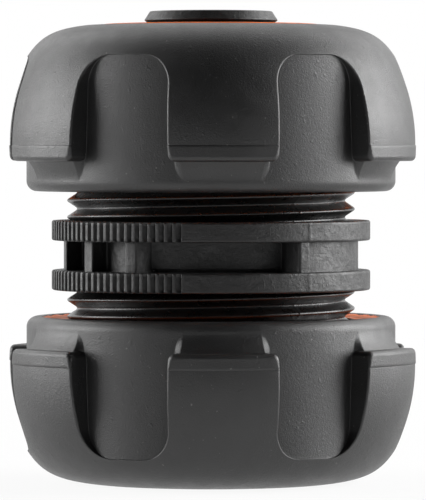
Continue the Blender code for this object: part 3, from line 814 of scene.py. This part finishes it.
def collet_fingers(sizes):
    """A slotted collet: foot ring, then eight fingers, each a sector of the same profile.

    A finger's sides are flat planes half a slot away from the slot's middle plane, so a point
    at radius r keeps to azimuths within the finger's half less asin(slot / 2 / r).
    """
    corners = [(9.7, 2.78, 0.15), (12.1, 2.78, 0.3), (12.1, 5.4, 0.1), (9.7, 5.4, 0.1)]
    foot = turned(corners, FOOT_COLUMNS)
    profile = held(rounded([
        (9.7, 5.0, 0.05), (12.1, 5.0, 0.05), (12.1, 10.89, 0.4), (10.31, 15.7, 0.2),
        (9.7, 15.7, 0.15), (9.1, 15.1, 0.1), (9.1, 14.5, 0.15), (9.7, 13.3, 0.3),
    ], 4))
    half = 180.0 / sizes.fingers
    side = half - np.degrees(np.arcsin(sizes.finger_slot / MM / 2.0 / profile[:, 0]))
    across = np.array([-1.0, -1.0, -0.98, -0.6, -0.2, 0.2, 0.6, 0.98, 1.0, 1.0])
    centre = profile.mean(axis=0)
    patches = [foot]
    for k in range(sizes.fingers):
        azimuth = (k + 0.5) * 2.0 * half + across[None] * side[:, None]
        radius = np.repeat(profile[:, :1], len(across), axis=1)
        height = np.repeat(profile[:, 1:], len(across), axis=1)
        radius[:, (0, -1)] = centre[0]
        height[:, (0, -1)] = centre[1]
        azimuth[:, (0, -1)] = azimuth[:, (1, -2)].mean(axis=0)[None]
        points = around(azimuth, radius, height)
        patches.append((points, grid_faces(points.shape, wrap_rows=True)))
    return patches


def rim_of(end):
    """Height of a nut's rim over the floor, and whether the nut stands upside down."""
    upper = end == "upper"
    return MIDDLE + (UPPER_RIM if upper else -LOWER_RIM), not upper


def nut_shells(sizes, material):
    """The soft shell of each nut."""
    one = turned_by(nut_shell(sizes), LOBE_AZIMUTH)
    for end, _ in ENDS:
        shell = raised(one, *rim_of(end))
        nut = end + "_nut"
        make_piece(nut + "_shell", shell, material, nut, (nut + "_grip",))


def nut_inserts(sizes, material):
    """The orange core of each nut, with the ribs of its end face."""
    for end, _ in ENDS:
        insert = raised([turned(core_corners(), INSERT_COLUMNS), mouth_ribs()], *rim_of(end))
        nut = end + "_nut"
        make_piece(nut + "_insert", insert, material, nut, (nut + "_core",))


def nut_threads(sizes, material):
    """The thread inside each nut, cut to the collar's thread with the running clearance."""
    root = sizes.root_radius / MM + CLEARANCE
    for end, sign in ENDS:
        rim = UPPER_RIM if sign > 0 else LOWER_RIM
        low, high = sorted(sign * (rim + height) for height in TAP_SPAN)
        ends = ((root + CHAMFER, -1.0), (0.0, 0.0))[:: int(sign)]
        tap = thread_ring(sizes, CREST[end], low, high, root, TAP_WALL, ends)
        nut = end + "_nut"
        make_piece(nut + "_thread", raised([tap], MIDDLE), material, nut, ())


def collets(sizes, material):
    """The slotted collet inside each nut."""
    for end, _ in ENDS:
        fingers = raised(collet_fingers(sizes), *rim_of(end))
        body = end + "_collet"
        make_piece(body + "_fingers", fingers, material, body, (body,))


# Finishes


class Nodes:
    """Adds nodes to a node tree and links them."""

    def __init__(self, tree):
        self.tree = tree

    def add(self, kind, **values):
        node = self.tree.nodes.new(kind)
        for key, value in values.items():
            setattr(node, key, value)
        return node

    def link(self, source, target):
        self.tree.links.new(source, target)

    def noise(self, scale, detail=2.0, rough=0.5, stretch=None):
        """Noise over the object's own coordinates, stretched by a factor along each axis."""
        node = self.add("ShaderNodeTexNoise")
        node.inputs["Scale"].default_value = scale
        node.inputs["Detail"].default_value = detail
        node.inputs["Roughness"].default_value = rough
        source = self.place
        if stretch:
            mapping = self.add("ShaderNodeMapping")
            mapping.inputs["Scale"].default_value = stretch
            self.link(source, mapping.inputs["Vector"])
            source = mapping.outputs["Vector"]
        self.link(source, node.inputs["Vector"])
        return node.outputs["Fac"]

    def ramp(self, value, low, high, first=0.0, last=1.0):
        """A value mapped from low..high to first..last, clamped and smooth."""
        node = self.add("ShaderNodeMapRange", interpolation_type="SMOOTHSTEP")
        keys = ("From Min", "From Max", "To Min", "To Max")
        for key, limit in zip(keys, (low, high, first, last)):
            node.inputs[key].default_value = limit
        self.link(value, node.inputs["Value"])
        return node.outputs["Result"]

    def math(self, operation, first, second):
        node = self.add("ShaderNodeMath", operation=operation)
        for socket, value in zip(node.inputs, (first, second)):
            if isinstance(value, float):
                socket.default_value = value
            else:
                self.link(value, socket)
        return node.outputs["Value"]

    def mix(self, share, first, last):
        """A colour between two colours."""
        node = self.add("ShaderNodeMix", data_type="RGBA")
        self.link(share, node.inputs["Factor"])
        for socket, value in ((node.inputs[6], first), (node.inputs[7], last)):
            if isinstance(value, bpy.types.NodeSocket):
                self.link(value, socket)
            else:
                socket.default_value = (*value, 1.0)
        return node.outputs[2]

    def mirrored(self):
        """The Light Path's outputs, and 1 for glossy and transmission rays."""
        path = self.add("ShaderNodeLightPath").outputs
        return path, self.math("MAXIMUM", path["Is Glossy Ray"], path["Is Transmission Ray"])


class Finish(Nodes):
    """A new material with its shader and the object's own coordinates."""

    def __init__(self, name):
        self.material = bpy.data.materials.new(name)
        self.material.use_nodes = True
        super().__init__(self.material.node_tree)
        self.shader = self.tree.nodes["Principled BSDF"]
        self.place = self.add("ShaderNodeTexCoord").outputs["Object"]

    def tint(self, noise, base, dark, light):
        """A colour that passes by the noise between two shades of the base."""
        tone = self.ramp(noise, 0.35, 0.7)
        ends = [tuple(value * factor for value in base) for factor in (dark, light)]
        colour = self.mix(tone, *ends)
        self.link(colour, self.shader.inputs["Base Color"])
        return colour

    def gloss(self, noise, high, least, most):
        """Roughness from the least to the most, by the noise from 0.3 to its high level."""
        rough = self.ramp(noise, 0.3, high, least, most)
        self.link(rough, self.shader.inputs["Roughness"])

    def relief(self, *layers):
        """Bumps of (height, distance, strength), laid one over the other."""
        below = None
        for height, distance, strength in layers:
            node = self.add("ShaderNodeBump")
            node.inputs["Distance"].default_value = distance
            node.inputs["Strength"].default_value = strength
            self.link(height, node.inputs["Height"])
            if below is not None:
                self.link(below, node.inputs["Normal"])
            below = node.outputs["Normal"]
        self.link(below, self.shader.inputs["Normal"])


def soft_finish(nodes, looks):
    """Soft-touch black: fine satin grain, cloudy tone, faint pits and a few specks of dust."""
    cloud = nodes.tint(nodes.noise(260.0, 3.0, 0.55), looks.soft_colour, 0.86, 1.14)
    dust = nodes.ramp(nodes.noise(2900.0, 1.0, 0.4), 0.765, 0.80)
    base = nodes.mix(dust, cloud, looks.dust_colour)
    nodes.link(base, nodes.shader.inputs["Base Color"])
    rough = looks.soft_roughness
    nodes.gloss(nodes.noise(420.0, 4.0, 0.6), 0.75, rough - 0.035, rough + 0.045)
    pits = nodes.ramp(nodes.noise(1700.0, 1.0, 0.4), 0.68, 0.78)
    nodes.relief(
        (nodes.noise(5600.0, 3.0, 0.75), 0.00006, 0.75),
        (nodes.noise(2100.0, 2.0, 0.5), 0.00006, 0.12),
        (pits, 0.00005, 0.35),
    )


def hard_finish(nodes, looks):
    """Hard moulded black: a mottled skin, flow lines round the part, scuffs and bright specks."""
    flow = nodes.noise(420.0, 6.0, 0.65, (1.0, 1.0, 2.2))
    nodes.tint(flow, looks.hard_colour, 0.7, 1.35)
    rough = looks.hard_roughness
    nodes.gloss(nodes.noise(800.0, 5.0, 0.65), 0.72, rough - 0.10, rough + 0.10)
    scuffs = nodes.ramp(nodes.noise(2600.0, 2.0, 0.5, (1.0, 1.0, 0.35)), 0.62, 0.76)
    nodes.relief(
        (flow, 0.0003, 0.25),
        (nodes.noise(1500.0, 5.0, 0.65), 0.00014, 0.5),
        (scuffs, 0.00004, 0.4),
    )


def shaded_thread_finish(nodes, looks):
    """Collars' black: smoother than the rings', darker as painted shade, streaked along the thread.
    """
    tone = nodes.noise(500.0, 4.0, 0.6, (1.0, 1.0, 6.0))
    # The colour is half the hard black's: painted shade for the flanks that lie in shade between
    # the crests; the smoother gloss is the collars' own
    nodes.tint(tone, looks.thread_colour, 0.7, 1.3)
    rough = looks.thread_roughness
    nodes.gloss(nodes.noise(900.0, 4.0, 0.6), 0.75, rough - 0.06, rough + 0.10)
    streaks = nodes.noise(1500.0, 3.0, 0.6, (1.0, 1.0, 5.0))
    specks = nodes.ramp(nodes.noise(3200.0, 1.0, 0.5), 0.68, 0.78)
    nodes.relief((streaks, 0.00005, 0.2), (specks, 0.00004, 0.25))


def orange_finish(nodes, looks):
    """Plain moulded orange with a light, even sheen and faint flow in its tone."""
    nodes.tint(nodes.noise(350.0, 3.0), looks.core_colour, 0.93, 1.0)
    nodes.gloss(nodes.noise(900.0, 3.0), 0.75, 0.38, 0.5)
    nodes.relief((nodes.noise(3000.0), 0.00002, 0.3))


def pale_finish(nodes, looks):
    """Plain pale grey moulding for the hidden collets."""
    nodes.tint(nodes.noise(400.0, 3.0), looks.collet_colour, 0.92, 1.0)
    nodes.gloss(nodes.noise(900.0, 3.0), 0.75, 0.40, 0.52)
    nodes.relief((nodes.noise(2600.0), 0.00002, 0.3))


FINISHES = {
    "soft": ("soft_touch_black", 0.65, soft_finish),
    "hard": ("hard_moulded_black", 0.5, hard_finish),
    # The collars' material is a darker copy of the hard black; the extra darkness is painted shade
    "thread": ("thread_black", 0.5, shaded_thread_finish),
    "orange": ("moulded_orange", 0.12, orange_finish),
    "pale": ("moulded_pale_grey", 0.5, pale_finish),
}


def finish_for(kind, looks):
    """The finish of that kind, made once and shared."""
    name, specular, dress = FINISHES[kind]
    if name not in bpy.data.materials:
        nodes = Finish(name)
        nodes.shader.inputs["Specular IOR Level"].default_value = specular
        dress(nodes, looks)
    return bpy.data.materials[name]


# Studio


def studio_floor(stage):
    """A large white floor that turns up into the backdrop, and keeps the part's shadow."""
    profile = np.array([(-3.0, 0.0), (1.2, 0.0), (1.6, 0.05), (1.85, 0.25), (1.9, 2.2)])
    y, x = np.meshgrid(profile[:, 0], (-3.0, 3.0), indexing="ij")
    z = np.repeat(profile[:, 1:], 2, axis=1)
    points = np.stack([x, y, z], axis=-1)
    mesh = bpy.data.meshes.new("studio_floor")
    mesh.from_pydata(points.reshape(-1, 3).tolist(), [], grid_faces(points.shape).tolist())
    floor = bpy.data.objects.new("studio_floor", mesh)
    bpy.context.scene.collection.objects.link(floor)
    nodes = Finish("studio_white")
    nodes.shader.inputs["Base Color"].default_value = (*stage.floor_colour, 1.0)
    nodes.shader.inputs["Roughness"].default_value = 0.9
    path, mirrored = nodes.mirrored()
    seen = nodes.math("MAXIMUM", path["Is Camera Ray"], mirrored)
    away = nodes.add("ShaderNodeVectorMath", operation="LENGTH")
    nodes.link(nodes.place, away.inputs[0])
    near = nodes.ramp(away.outputs["Value"], 0.06, 0.4, stage.floor_glow, 1.0)
    share = nodes.math("MULTIPLY", seen, near)
    glow = nodes.add("ShaderNodeEmission")
    mixed = nodes.add("ShaderNodeMixShader")
    nodes.link(share, mixed.inputs[0])
    nodes.link(nodes.shader.outputs["BSDF"], mixed.inputs[1])
    nodes.link(glow.outputs["Emission"], mixed.inputs[2])
    surface = nodes.tree.nodes["Material Output"].inputs["Surface"]
    nodes.link(mixed.outputs["Shader"], surface)
    mesh.materials.append(nodes.material)


def soft_light(name, place, size, radiance):
    """A rectangular lamp that faces the part; its power gives the stated radiance."""
    lamp = bpy.data.lights.new(name, "AREA")
    lamp.shape = "RECTANGLE"
    lamp.size, lamp.size_y = size
    lamp.energy = radiance * np.pi * size[0] * size[1]
    item = bpy.data.objects.new(name, lamp)
    bpy.context.scene.collection.objects.link(item)
    back = np.subtract(place, LAMP_AIM)
    back = back / np.linalg.norm(back)
    side = np.cross((0.0, 0.0, 1.0), back)
    side = side / np.linalg.norm(side)
    matrix = np.eye(4)
    matrix[:3] = np.stack([side, np.cross(back, side), back, place], axis=1)
    item.matrix_world = Matrix(matrix.tolist())


def studio_world(stage):
    """White behind the part for the camera and its reflections, dim grey all round else.

    Camera rays see white in every direction. Glossy and transmission rays see it where they
    leave towards the backdrop (+Y), because the room on the camera's side is dark.
    """
    world = bpy.data.worlds.new("studio")
    bpy.context.scene.world = world
    world.use_nodes = True
    nodes = Nodes(world.node_tree)
    background = nodes.tree.nodes["Background"]
    background.inputs["Color"].default_value = (1.0, 1.0, 1.0, 1.0)
    path, mirrored = nodes.mirrored()
    split = nodes.add("ShaderNodeSeparateXYZ")
    nodes.link(nodes.add("ShaderNodeTexCoord").outputs["Generated"], split.inputs["Vector"])
    behind = nodes.ramp(split.outputs["Y"], -0.1, 0.2, 0.0, stage.backdrop_level)
    seen = nodes.math("MULTIPLY", mirrored, behind)
    seen = nodes.math("MAXIMUM", path["Is Camera Ray"], seen)
    level = nodes.math("MAXIMUM", seen, stage.world_level)
    nodes.link(level, background.inputs["Strength"])


def camera(stage):
    """The photograph's camera: a long lens, level with the upper nut, tipped down slightly.

    The picture is taller than wide, so the sensor's full width measures its height.
    """
    lens = bpy.data.cameras.new("camera")
    lens.sensor_width = SENSOR
    focal = stage.distance / MM / stage.pixel_size
    lens.lens = SENSOR * focal / PHOTO_HEIGHT
    lens.clip_start = 0.01
    lens.clip_end = 20.0
    item = bpy.data.objects.new("camera", lens)
    bpy.context.scene.collection.objects.link(item)
    across = (PHOTO_WIDTH / 2.0 - stage.axis_pixel) * stage.pixel_size * MM
    centre = (MIDDLE + (stage.middle_pixel - PHOTO_HEIGHT / 2.0) * stage.pixel_size) * MM
    eye = (MIDDLE + (stage.middle_pixel - stage.eye_pixel) * stage.pixel_size) * MM
    item.location = (across, -stage.distance, eye)
    tip = np.arctan2(eye - centre, stage.distance)
    item.rotation_euler = (np.pi / 2.0 - tip, 0.0, 0.0)
    bpy.context.scene.camera = item


# Settings


def length(name, value, description):
    """A length setting given in millimetres."""
    return FloatProperty(
        name=name, description=description, default=value * MM, unit="LENGTH", precision=5
    )


def number(name, value, description):
    """A plain number, or an angle in degrees."""
    return FloatProperty(name=name, description=description, default=value)


def amount(name, value, description):
    return IntProperty(name=name, description=description, default=value)


def colour(name, value, description):
    return FloatVectorProperty(
        name=name, description=description, default=value, subtype="COLOR", min=0.0, max=1.0
    )


class HOSEMENDER_PG_nut(PropertyGroup):
    """Sizes of a nut's soft shell."""

    lobes: amount("Lobes", 6, "Raised lobes round the nut")
    lobe_half: number("Lobe half angle", 15.55, "Half the width of a lobe, in degrees")
    lobe_radius: length("Lobe radius", 22.4, "Radius over the lobes")
    lobe_bottom: length("Lobe bottom", 3.4, "Height of the lobes' lower edge over the rim")
    lobe_corner: length("Lobe corner", 0.65, "Rounding of a lobe's lower corners")
    parting_step: length("Parting step", 0.07, "Step at the parting line across each lobe")
    face_radius: length("Face radius", 13.6, "Radius of the flat face round the hose hole")
    skirt_radius: length("Skirt radius", 19.86, "Radius of the skirt below the lobes")
    wall_lean: number("Wall lean", 0.07, "Degrees that a wall moves round in a millimetre")
    arch_top: length("Arch top", 14.6, "Height of the recesses' arches over the rim")
    arch_corner: length("Arch corner", 3.2, "Rounding of the arches' corners")
    edge_round: length("Edge rounding", 0.22, "Rounding of the lobes' edges")
    bottom_round: length("Lower rounding", 0.5, "Rounding of the lobes' lower edges")
    floor_round: length("Floor fillet", 0.06, "Fillet between a recess floor and a lobe")
    tongue_tip: length("Tongue tip", 1.28, "Height of the tongues' tips over the rim")
    tongue_height: length("Tongue height", 0.92, "How far a tongue stands out at its top")
    foot_half: number("Tongue foot angle", 14.4, "Half the width of a tongue's foot")
    edge_half: number("Tongue edge angle", 12.5, "Half the width of a tongue's top edge")
    tip_half: number("Tongue tip angle", 11.7, "Half the width of a tongue's tip")
    rim_low: length("Rim height", 0.15, "Height of the shell's rim over the nut's own rim")
    rim_round: length("Rim rounding", 1.1, "Rounding of the rim's outer edge")
    rim_inside: length("Rim inside", 18.2, "Inner radius of the rim")
    hole_radius: length("Hole radius", 12.3, "Radius of the shell's hole round the nose")
    fingers: amount("Fingers", 8, "Fingers of a collet")
    finger_slot: length("Finger slot", 1.2, "Width of the slots between collet fingers")


class HOSEMENDER_PG_connector(PropertyGroup):
    """Sizes of the connector."""

    bore_radius: length("Bore radius", 5.0, "Radius of the water passage")
    drum_radius: length("Drum radius", 13.9, "Radius of the drum between the rings")
    band_radius: length("Band radius", 15.85, "Radius over the blocks and ribs")
    parting_radius: length("Parting rib radius", 16.9, "Radius over the parting ribs")
    foot_groove: length("Foot groove", 0.38, "Height of the groove along the drum's foot")
    ring_radius: length("Ring radius", 17.15, "Radius over the grip rings")
    ring_space: length("Ring space", 3.18, "Space between the grip rings")
    ring_round: length("Ring rounding", 0.24, "Rounding of the rings' edges")
    knurls: amount("Ridges", 28, "Ridges in each knurled field")
    knurl_step: number("Ridge step", 3.08, "Angle from one ridge to the next")
    knurl_land: number("Ridge land", 1.3, "Width of a ridge's flat top, in degrees")
    knurl_depth: length("Ridge depth", 0.6, "Depth of the notches between ridges")
    knurl_end: length("Ridge end", 0.42, "Height over which a notch closes at a ring's faces")
    root_radius: length("Thread root", 14.44, "Radius at the root of the thread")
    depth: length("Thread depth", 1.04, "Depth of the thread")
    pitch: length("Thread pitch", 1.8, "Rise of the thread in one turn")
    flat: length("Thread flat", 0.22, "Width of the thread's crest")
    soft: length("Thread rounding", 0.08, "Rounding of the thread's crests and roots")
    flash: length("Parting flash", 0.05, "Height of the seam where the mould parts")


class HOSEMENDER_PG_looks(PropertyGroup):
    """Colours and roughness of the finishes."""

    soft_colour: colour("Soft black", (0.011, 0.011, 0.0112), "Colour of the soft shells")
    soft_roughness: number("Soft roughness", 0.42, "Roughness of the soft shells")
    dust_colour: colour("Dust", (0.09, 0.088, 0.085), "Colour of the specks on the shells")
    hard_colour: colour("Hard black", (0.008, 0.008, 0.0082), "Colour of the connector")
    hard_roughness: number("Hard roughness", 0.46, "Roughness of the connector")
    # Darker than the hard black as painted shade for the collars' flanks between the crests
    thread_colour: colour("Thread black", (0.004, 0.0038, 0.0037), "Colour of the collars")
    thread_roughness: number("Thread roughness", 0.3, "Roughness of the collars")
    core_colour: colour("Orange", (0.95, 0.17, 0.008), "Colour of the nut cores")
    collet_colour: colour("Pale grey", (0.55, 0.55, 0.54), "Colour of the collets")


class HOSEMENDER_PG_stage(PropertyGroup):
    """Light, floor and camera."""

    floor_colour: colour("Floor", (0.92, 0.92, 0.92), "Colour of the floor and backdrop")
    floor_glow: number("Floor glow", 0.92, "Share of white that the camera sees near the part")
    world_level: number("Surrounding light", 0.03, "Level of the light from all round")
    backdrop_level: number("Backdrop", 1.0, "Level of the backdrop in reflections")
    left_level: number("Left light", 7.0, "Radiance of the lamp on the left")
    right_level: number("Right light", 8.2, "Radiance of the lamp on the right")
    rear_level: number("Rear light", 2.0, "Radiance of the two lamps behind")
    distance: length("Distance", 560.0, "Camera to the part's axis")
    pixel_size: number("Pixel size", 0.1077, "Millimetres at the axis in a pixel")
    axis_pixel: number("Axis pixel", 211.0, "Column of the part's axis in the picture")
    middle_pixel: number("Middle pixel", 254.8, "Row of the connector's middle")
    eye_pixel: number("Eye pixel", 142.0, "Row of the picture at the camera's height")


# Operators


def built(context, maker, group, kind):
    """Make one group of pieces from its settings and its finish."""
    scene = context.scene
    maker(getattr(scene, "hosemender_" + group), finish_for(kind, scene.hosemender_looks))
    return {"FINISHED"}


class HOSEMENDER_OT_stage(Operator):
    """Build the floor, the lamps, the surroundings and the camera"""

    bl_idname = "hosemender.stage"
    bl_label = "Build Stage"

    def execute(self, context):
        stage = context.scene.hosemender_stage
        context.scene.view_settings.view_transform = "Standard"
        camera(stage)
        studio_floor(stage)
        studio_world(stage)
        soft_light("left_lamp", (-0.54, 0.04, 0.16), (0.50, 0.32), stage.left_level)
        soft_light("right_lamp", (0.54, 0.07, 0.20), (0.55, 0.40), stage.right_level)
        for side, x in (("left", -0.33), ("right", 0.33)):
            place = (x, 0.45, 0.45)
            soft_light(side + "_rear_lamp", place, (0.3, 0.4), stage.rear_level)
        return {"FINISHED"}


class HOSEMENDER_OT_connector_core(Operator):
    """Build the connector's core: water passage, hub and barbed tails"""

    bl_idname = "hosemender.connector_core"
    bl_label = "Build Connector Core"

    def execute(self, context):
        return built(context, connector_core, "connector", "hard")


class HOSEMENDER_OT_connector_rings(Operator):
    """Build the two grip rings"""

    bl_idname = "hosemender.connector_rings"
    bl_label = "Build Grip Rings"

    def execute(self, context):
        return built(context, connector_rings, "connector", "hard")


class HOSEMENDER_OT_connector_band(Operator):
    """Build the ribbed band between the grip rings"""

    bl_idname = "hosemender.connector_band"
    bl_label = "Build Ribbed Band"

    def execute(self, context):
        return built(context, connector_band, "connector", "hard")


class HOSEMENDER_OT_connector_threads(Operator):
    """Build the two threaded collars"""

    bl_idname = "hosemender.connector_threads"
    bl_label = "Build Collars"

    def execute(self, context):
        return built(context, connector_threads, "connector", "thread")


class HOSEMENDER_OT_nut_shells(Operator):
    """Build the soft shells of both nuts"""

    bl_idname = "hosemender.nut_shells"
    bl_label = "Build Shells"

    def execute(self, context):
        return built(context, nut_shells, "nut", "soft")


class HOSEMENDER_OT_nut_inserts(Operator):
    """Build the orange cores of both nuts"""

    bl_idname = "hosemender.nut_inserts"
    bl_label = "Build Nut Cores"

    def execute(self, context):
        return built(context, nut_inserts, "nut", "orange")


class HOSEMENDER_OT_nut_threads(Operator):
    """Build the threads inside both nuts"""

    bl_idname = "hosemender.nut_threads"
    bl_label = "Build Nut Threads"

    def execute(self, context):
        return built(context, nut_threads, "connector", "orange")


class HOSEMENDER_OT_collets(Operator):
    """Build both slotted collets"""

    bl_idname = "hosemender.collets"
    bl_label = "Build Collets"

    def execute(self, context):
        return built(context, collets, "nut", "pale")


SECTIONS = (
    ("Stage", "hosemender_stage", HOSEMENDER_PG_stage, (HOSEMENDER_OT_stage,)),
    ("Connector", "hosemender_connector", HOSEMENDER_PG_connector, (
        HOSEMENDER_OT_connector_core,
        HOSEMENDER_OT_connector_rings,
        HOSEMENDER_OT_connector_band,
        HOSEMENDER_OT_connector_threads,
    )),
    ("Nuts", "hosemender_nut", HOSEMENDER_PG_nut, (
        HOSEMENDER_OT_nut_shells,
        HOSEMENDER_OT_nut_inserts,
        HOSEMENDER_OT_nut_threads,
        HOSEMENDER_OT_collets,
    )),
    ("Finishes", "hosemender_looks", HOSEMENDER_PG_looks, ()),
)


class HOSEMENDER_PT_panel(Panel):
    """Settings and steps of the hose mender"""

    bl_idname = "HOSEMENDER_PT_panel"
    bl_label = "Hose Mender"
    bl_space_type = "VIEW_3D"
    bl_region_type = "UI"
    bl_category = "Hose Mender"

    def draw(self, context):
        for title, name, _, operators in SECTIONS:
            box = self.layout.box()
            box.label(text=title)
            settings = getattr(context.scene, name)
            for key in settings.bl_rna.properties.keys():
                if key not in {"rna_type", "name"}:
                    box.prop(settings, key)
            for operator in operators:
                box.operator(operator.bl_idname)


CLASSES = [group for _, _, group, _ in SECTIONS]
CLASSES += [operator for *_, operators in SECTIONS for operator in operators]
CLASSES.append(HOSEMENDER_PT_panel)


def register():
    for item in CLASSES:
        bpy.utils.register_class(item)
    for _, name, group, _ in SECTIONS:
        setattr(bpy.types.Scene, name, PointerProperty(type=group))


def unregister():
    for _, name, _, _ in SECTIONS:
        delattr(bpy.types.Scene, name)
    for item in reversed(CLASSES):
        bpy.utils.unregister_class(item)


def main():
    register()
    bpy.ops.hosemender.stage()
    bpy.ops.hosemender.connector_core()
    bpy.ops.hosemender.connector_rings()
    bpy.ops.hosemender.connector_band()
    bpy.ops.hosemender.connector_threads()
    bpy.ops.hosemender.nut_shells()
    bpy.ops.hosemender.nut_inserts()
    bpy.ops.hosemender.nut_threads()
    bpy.ops.hosemender.collets()


if __name__ == "__main__":
    main()
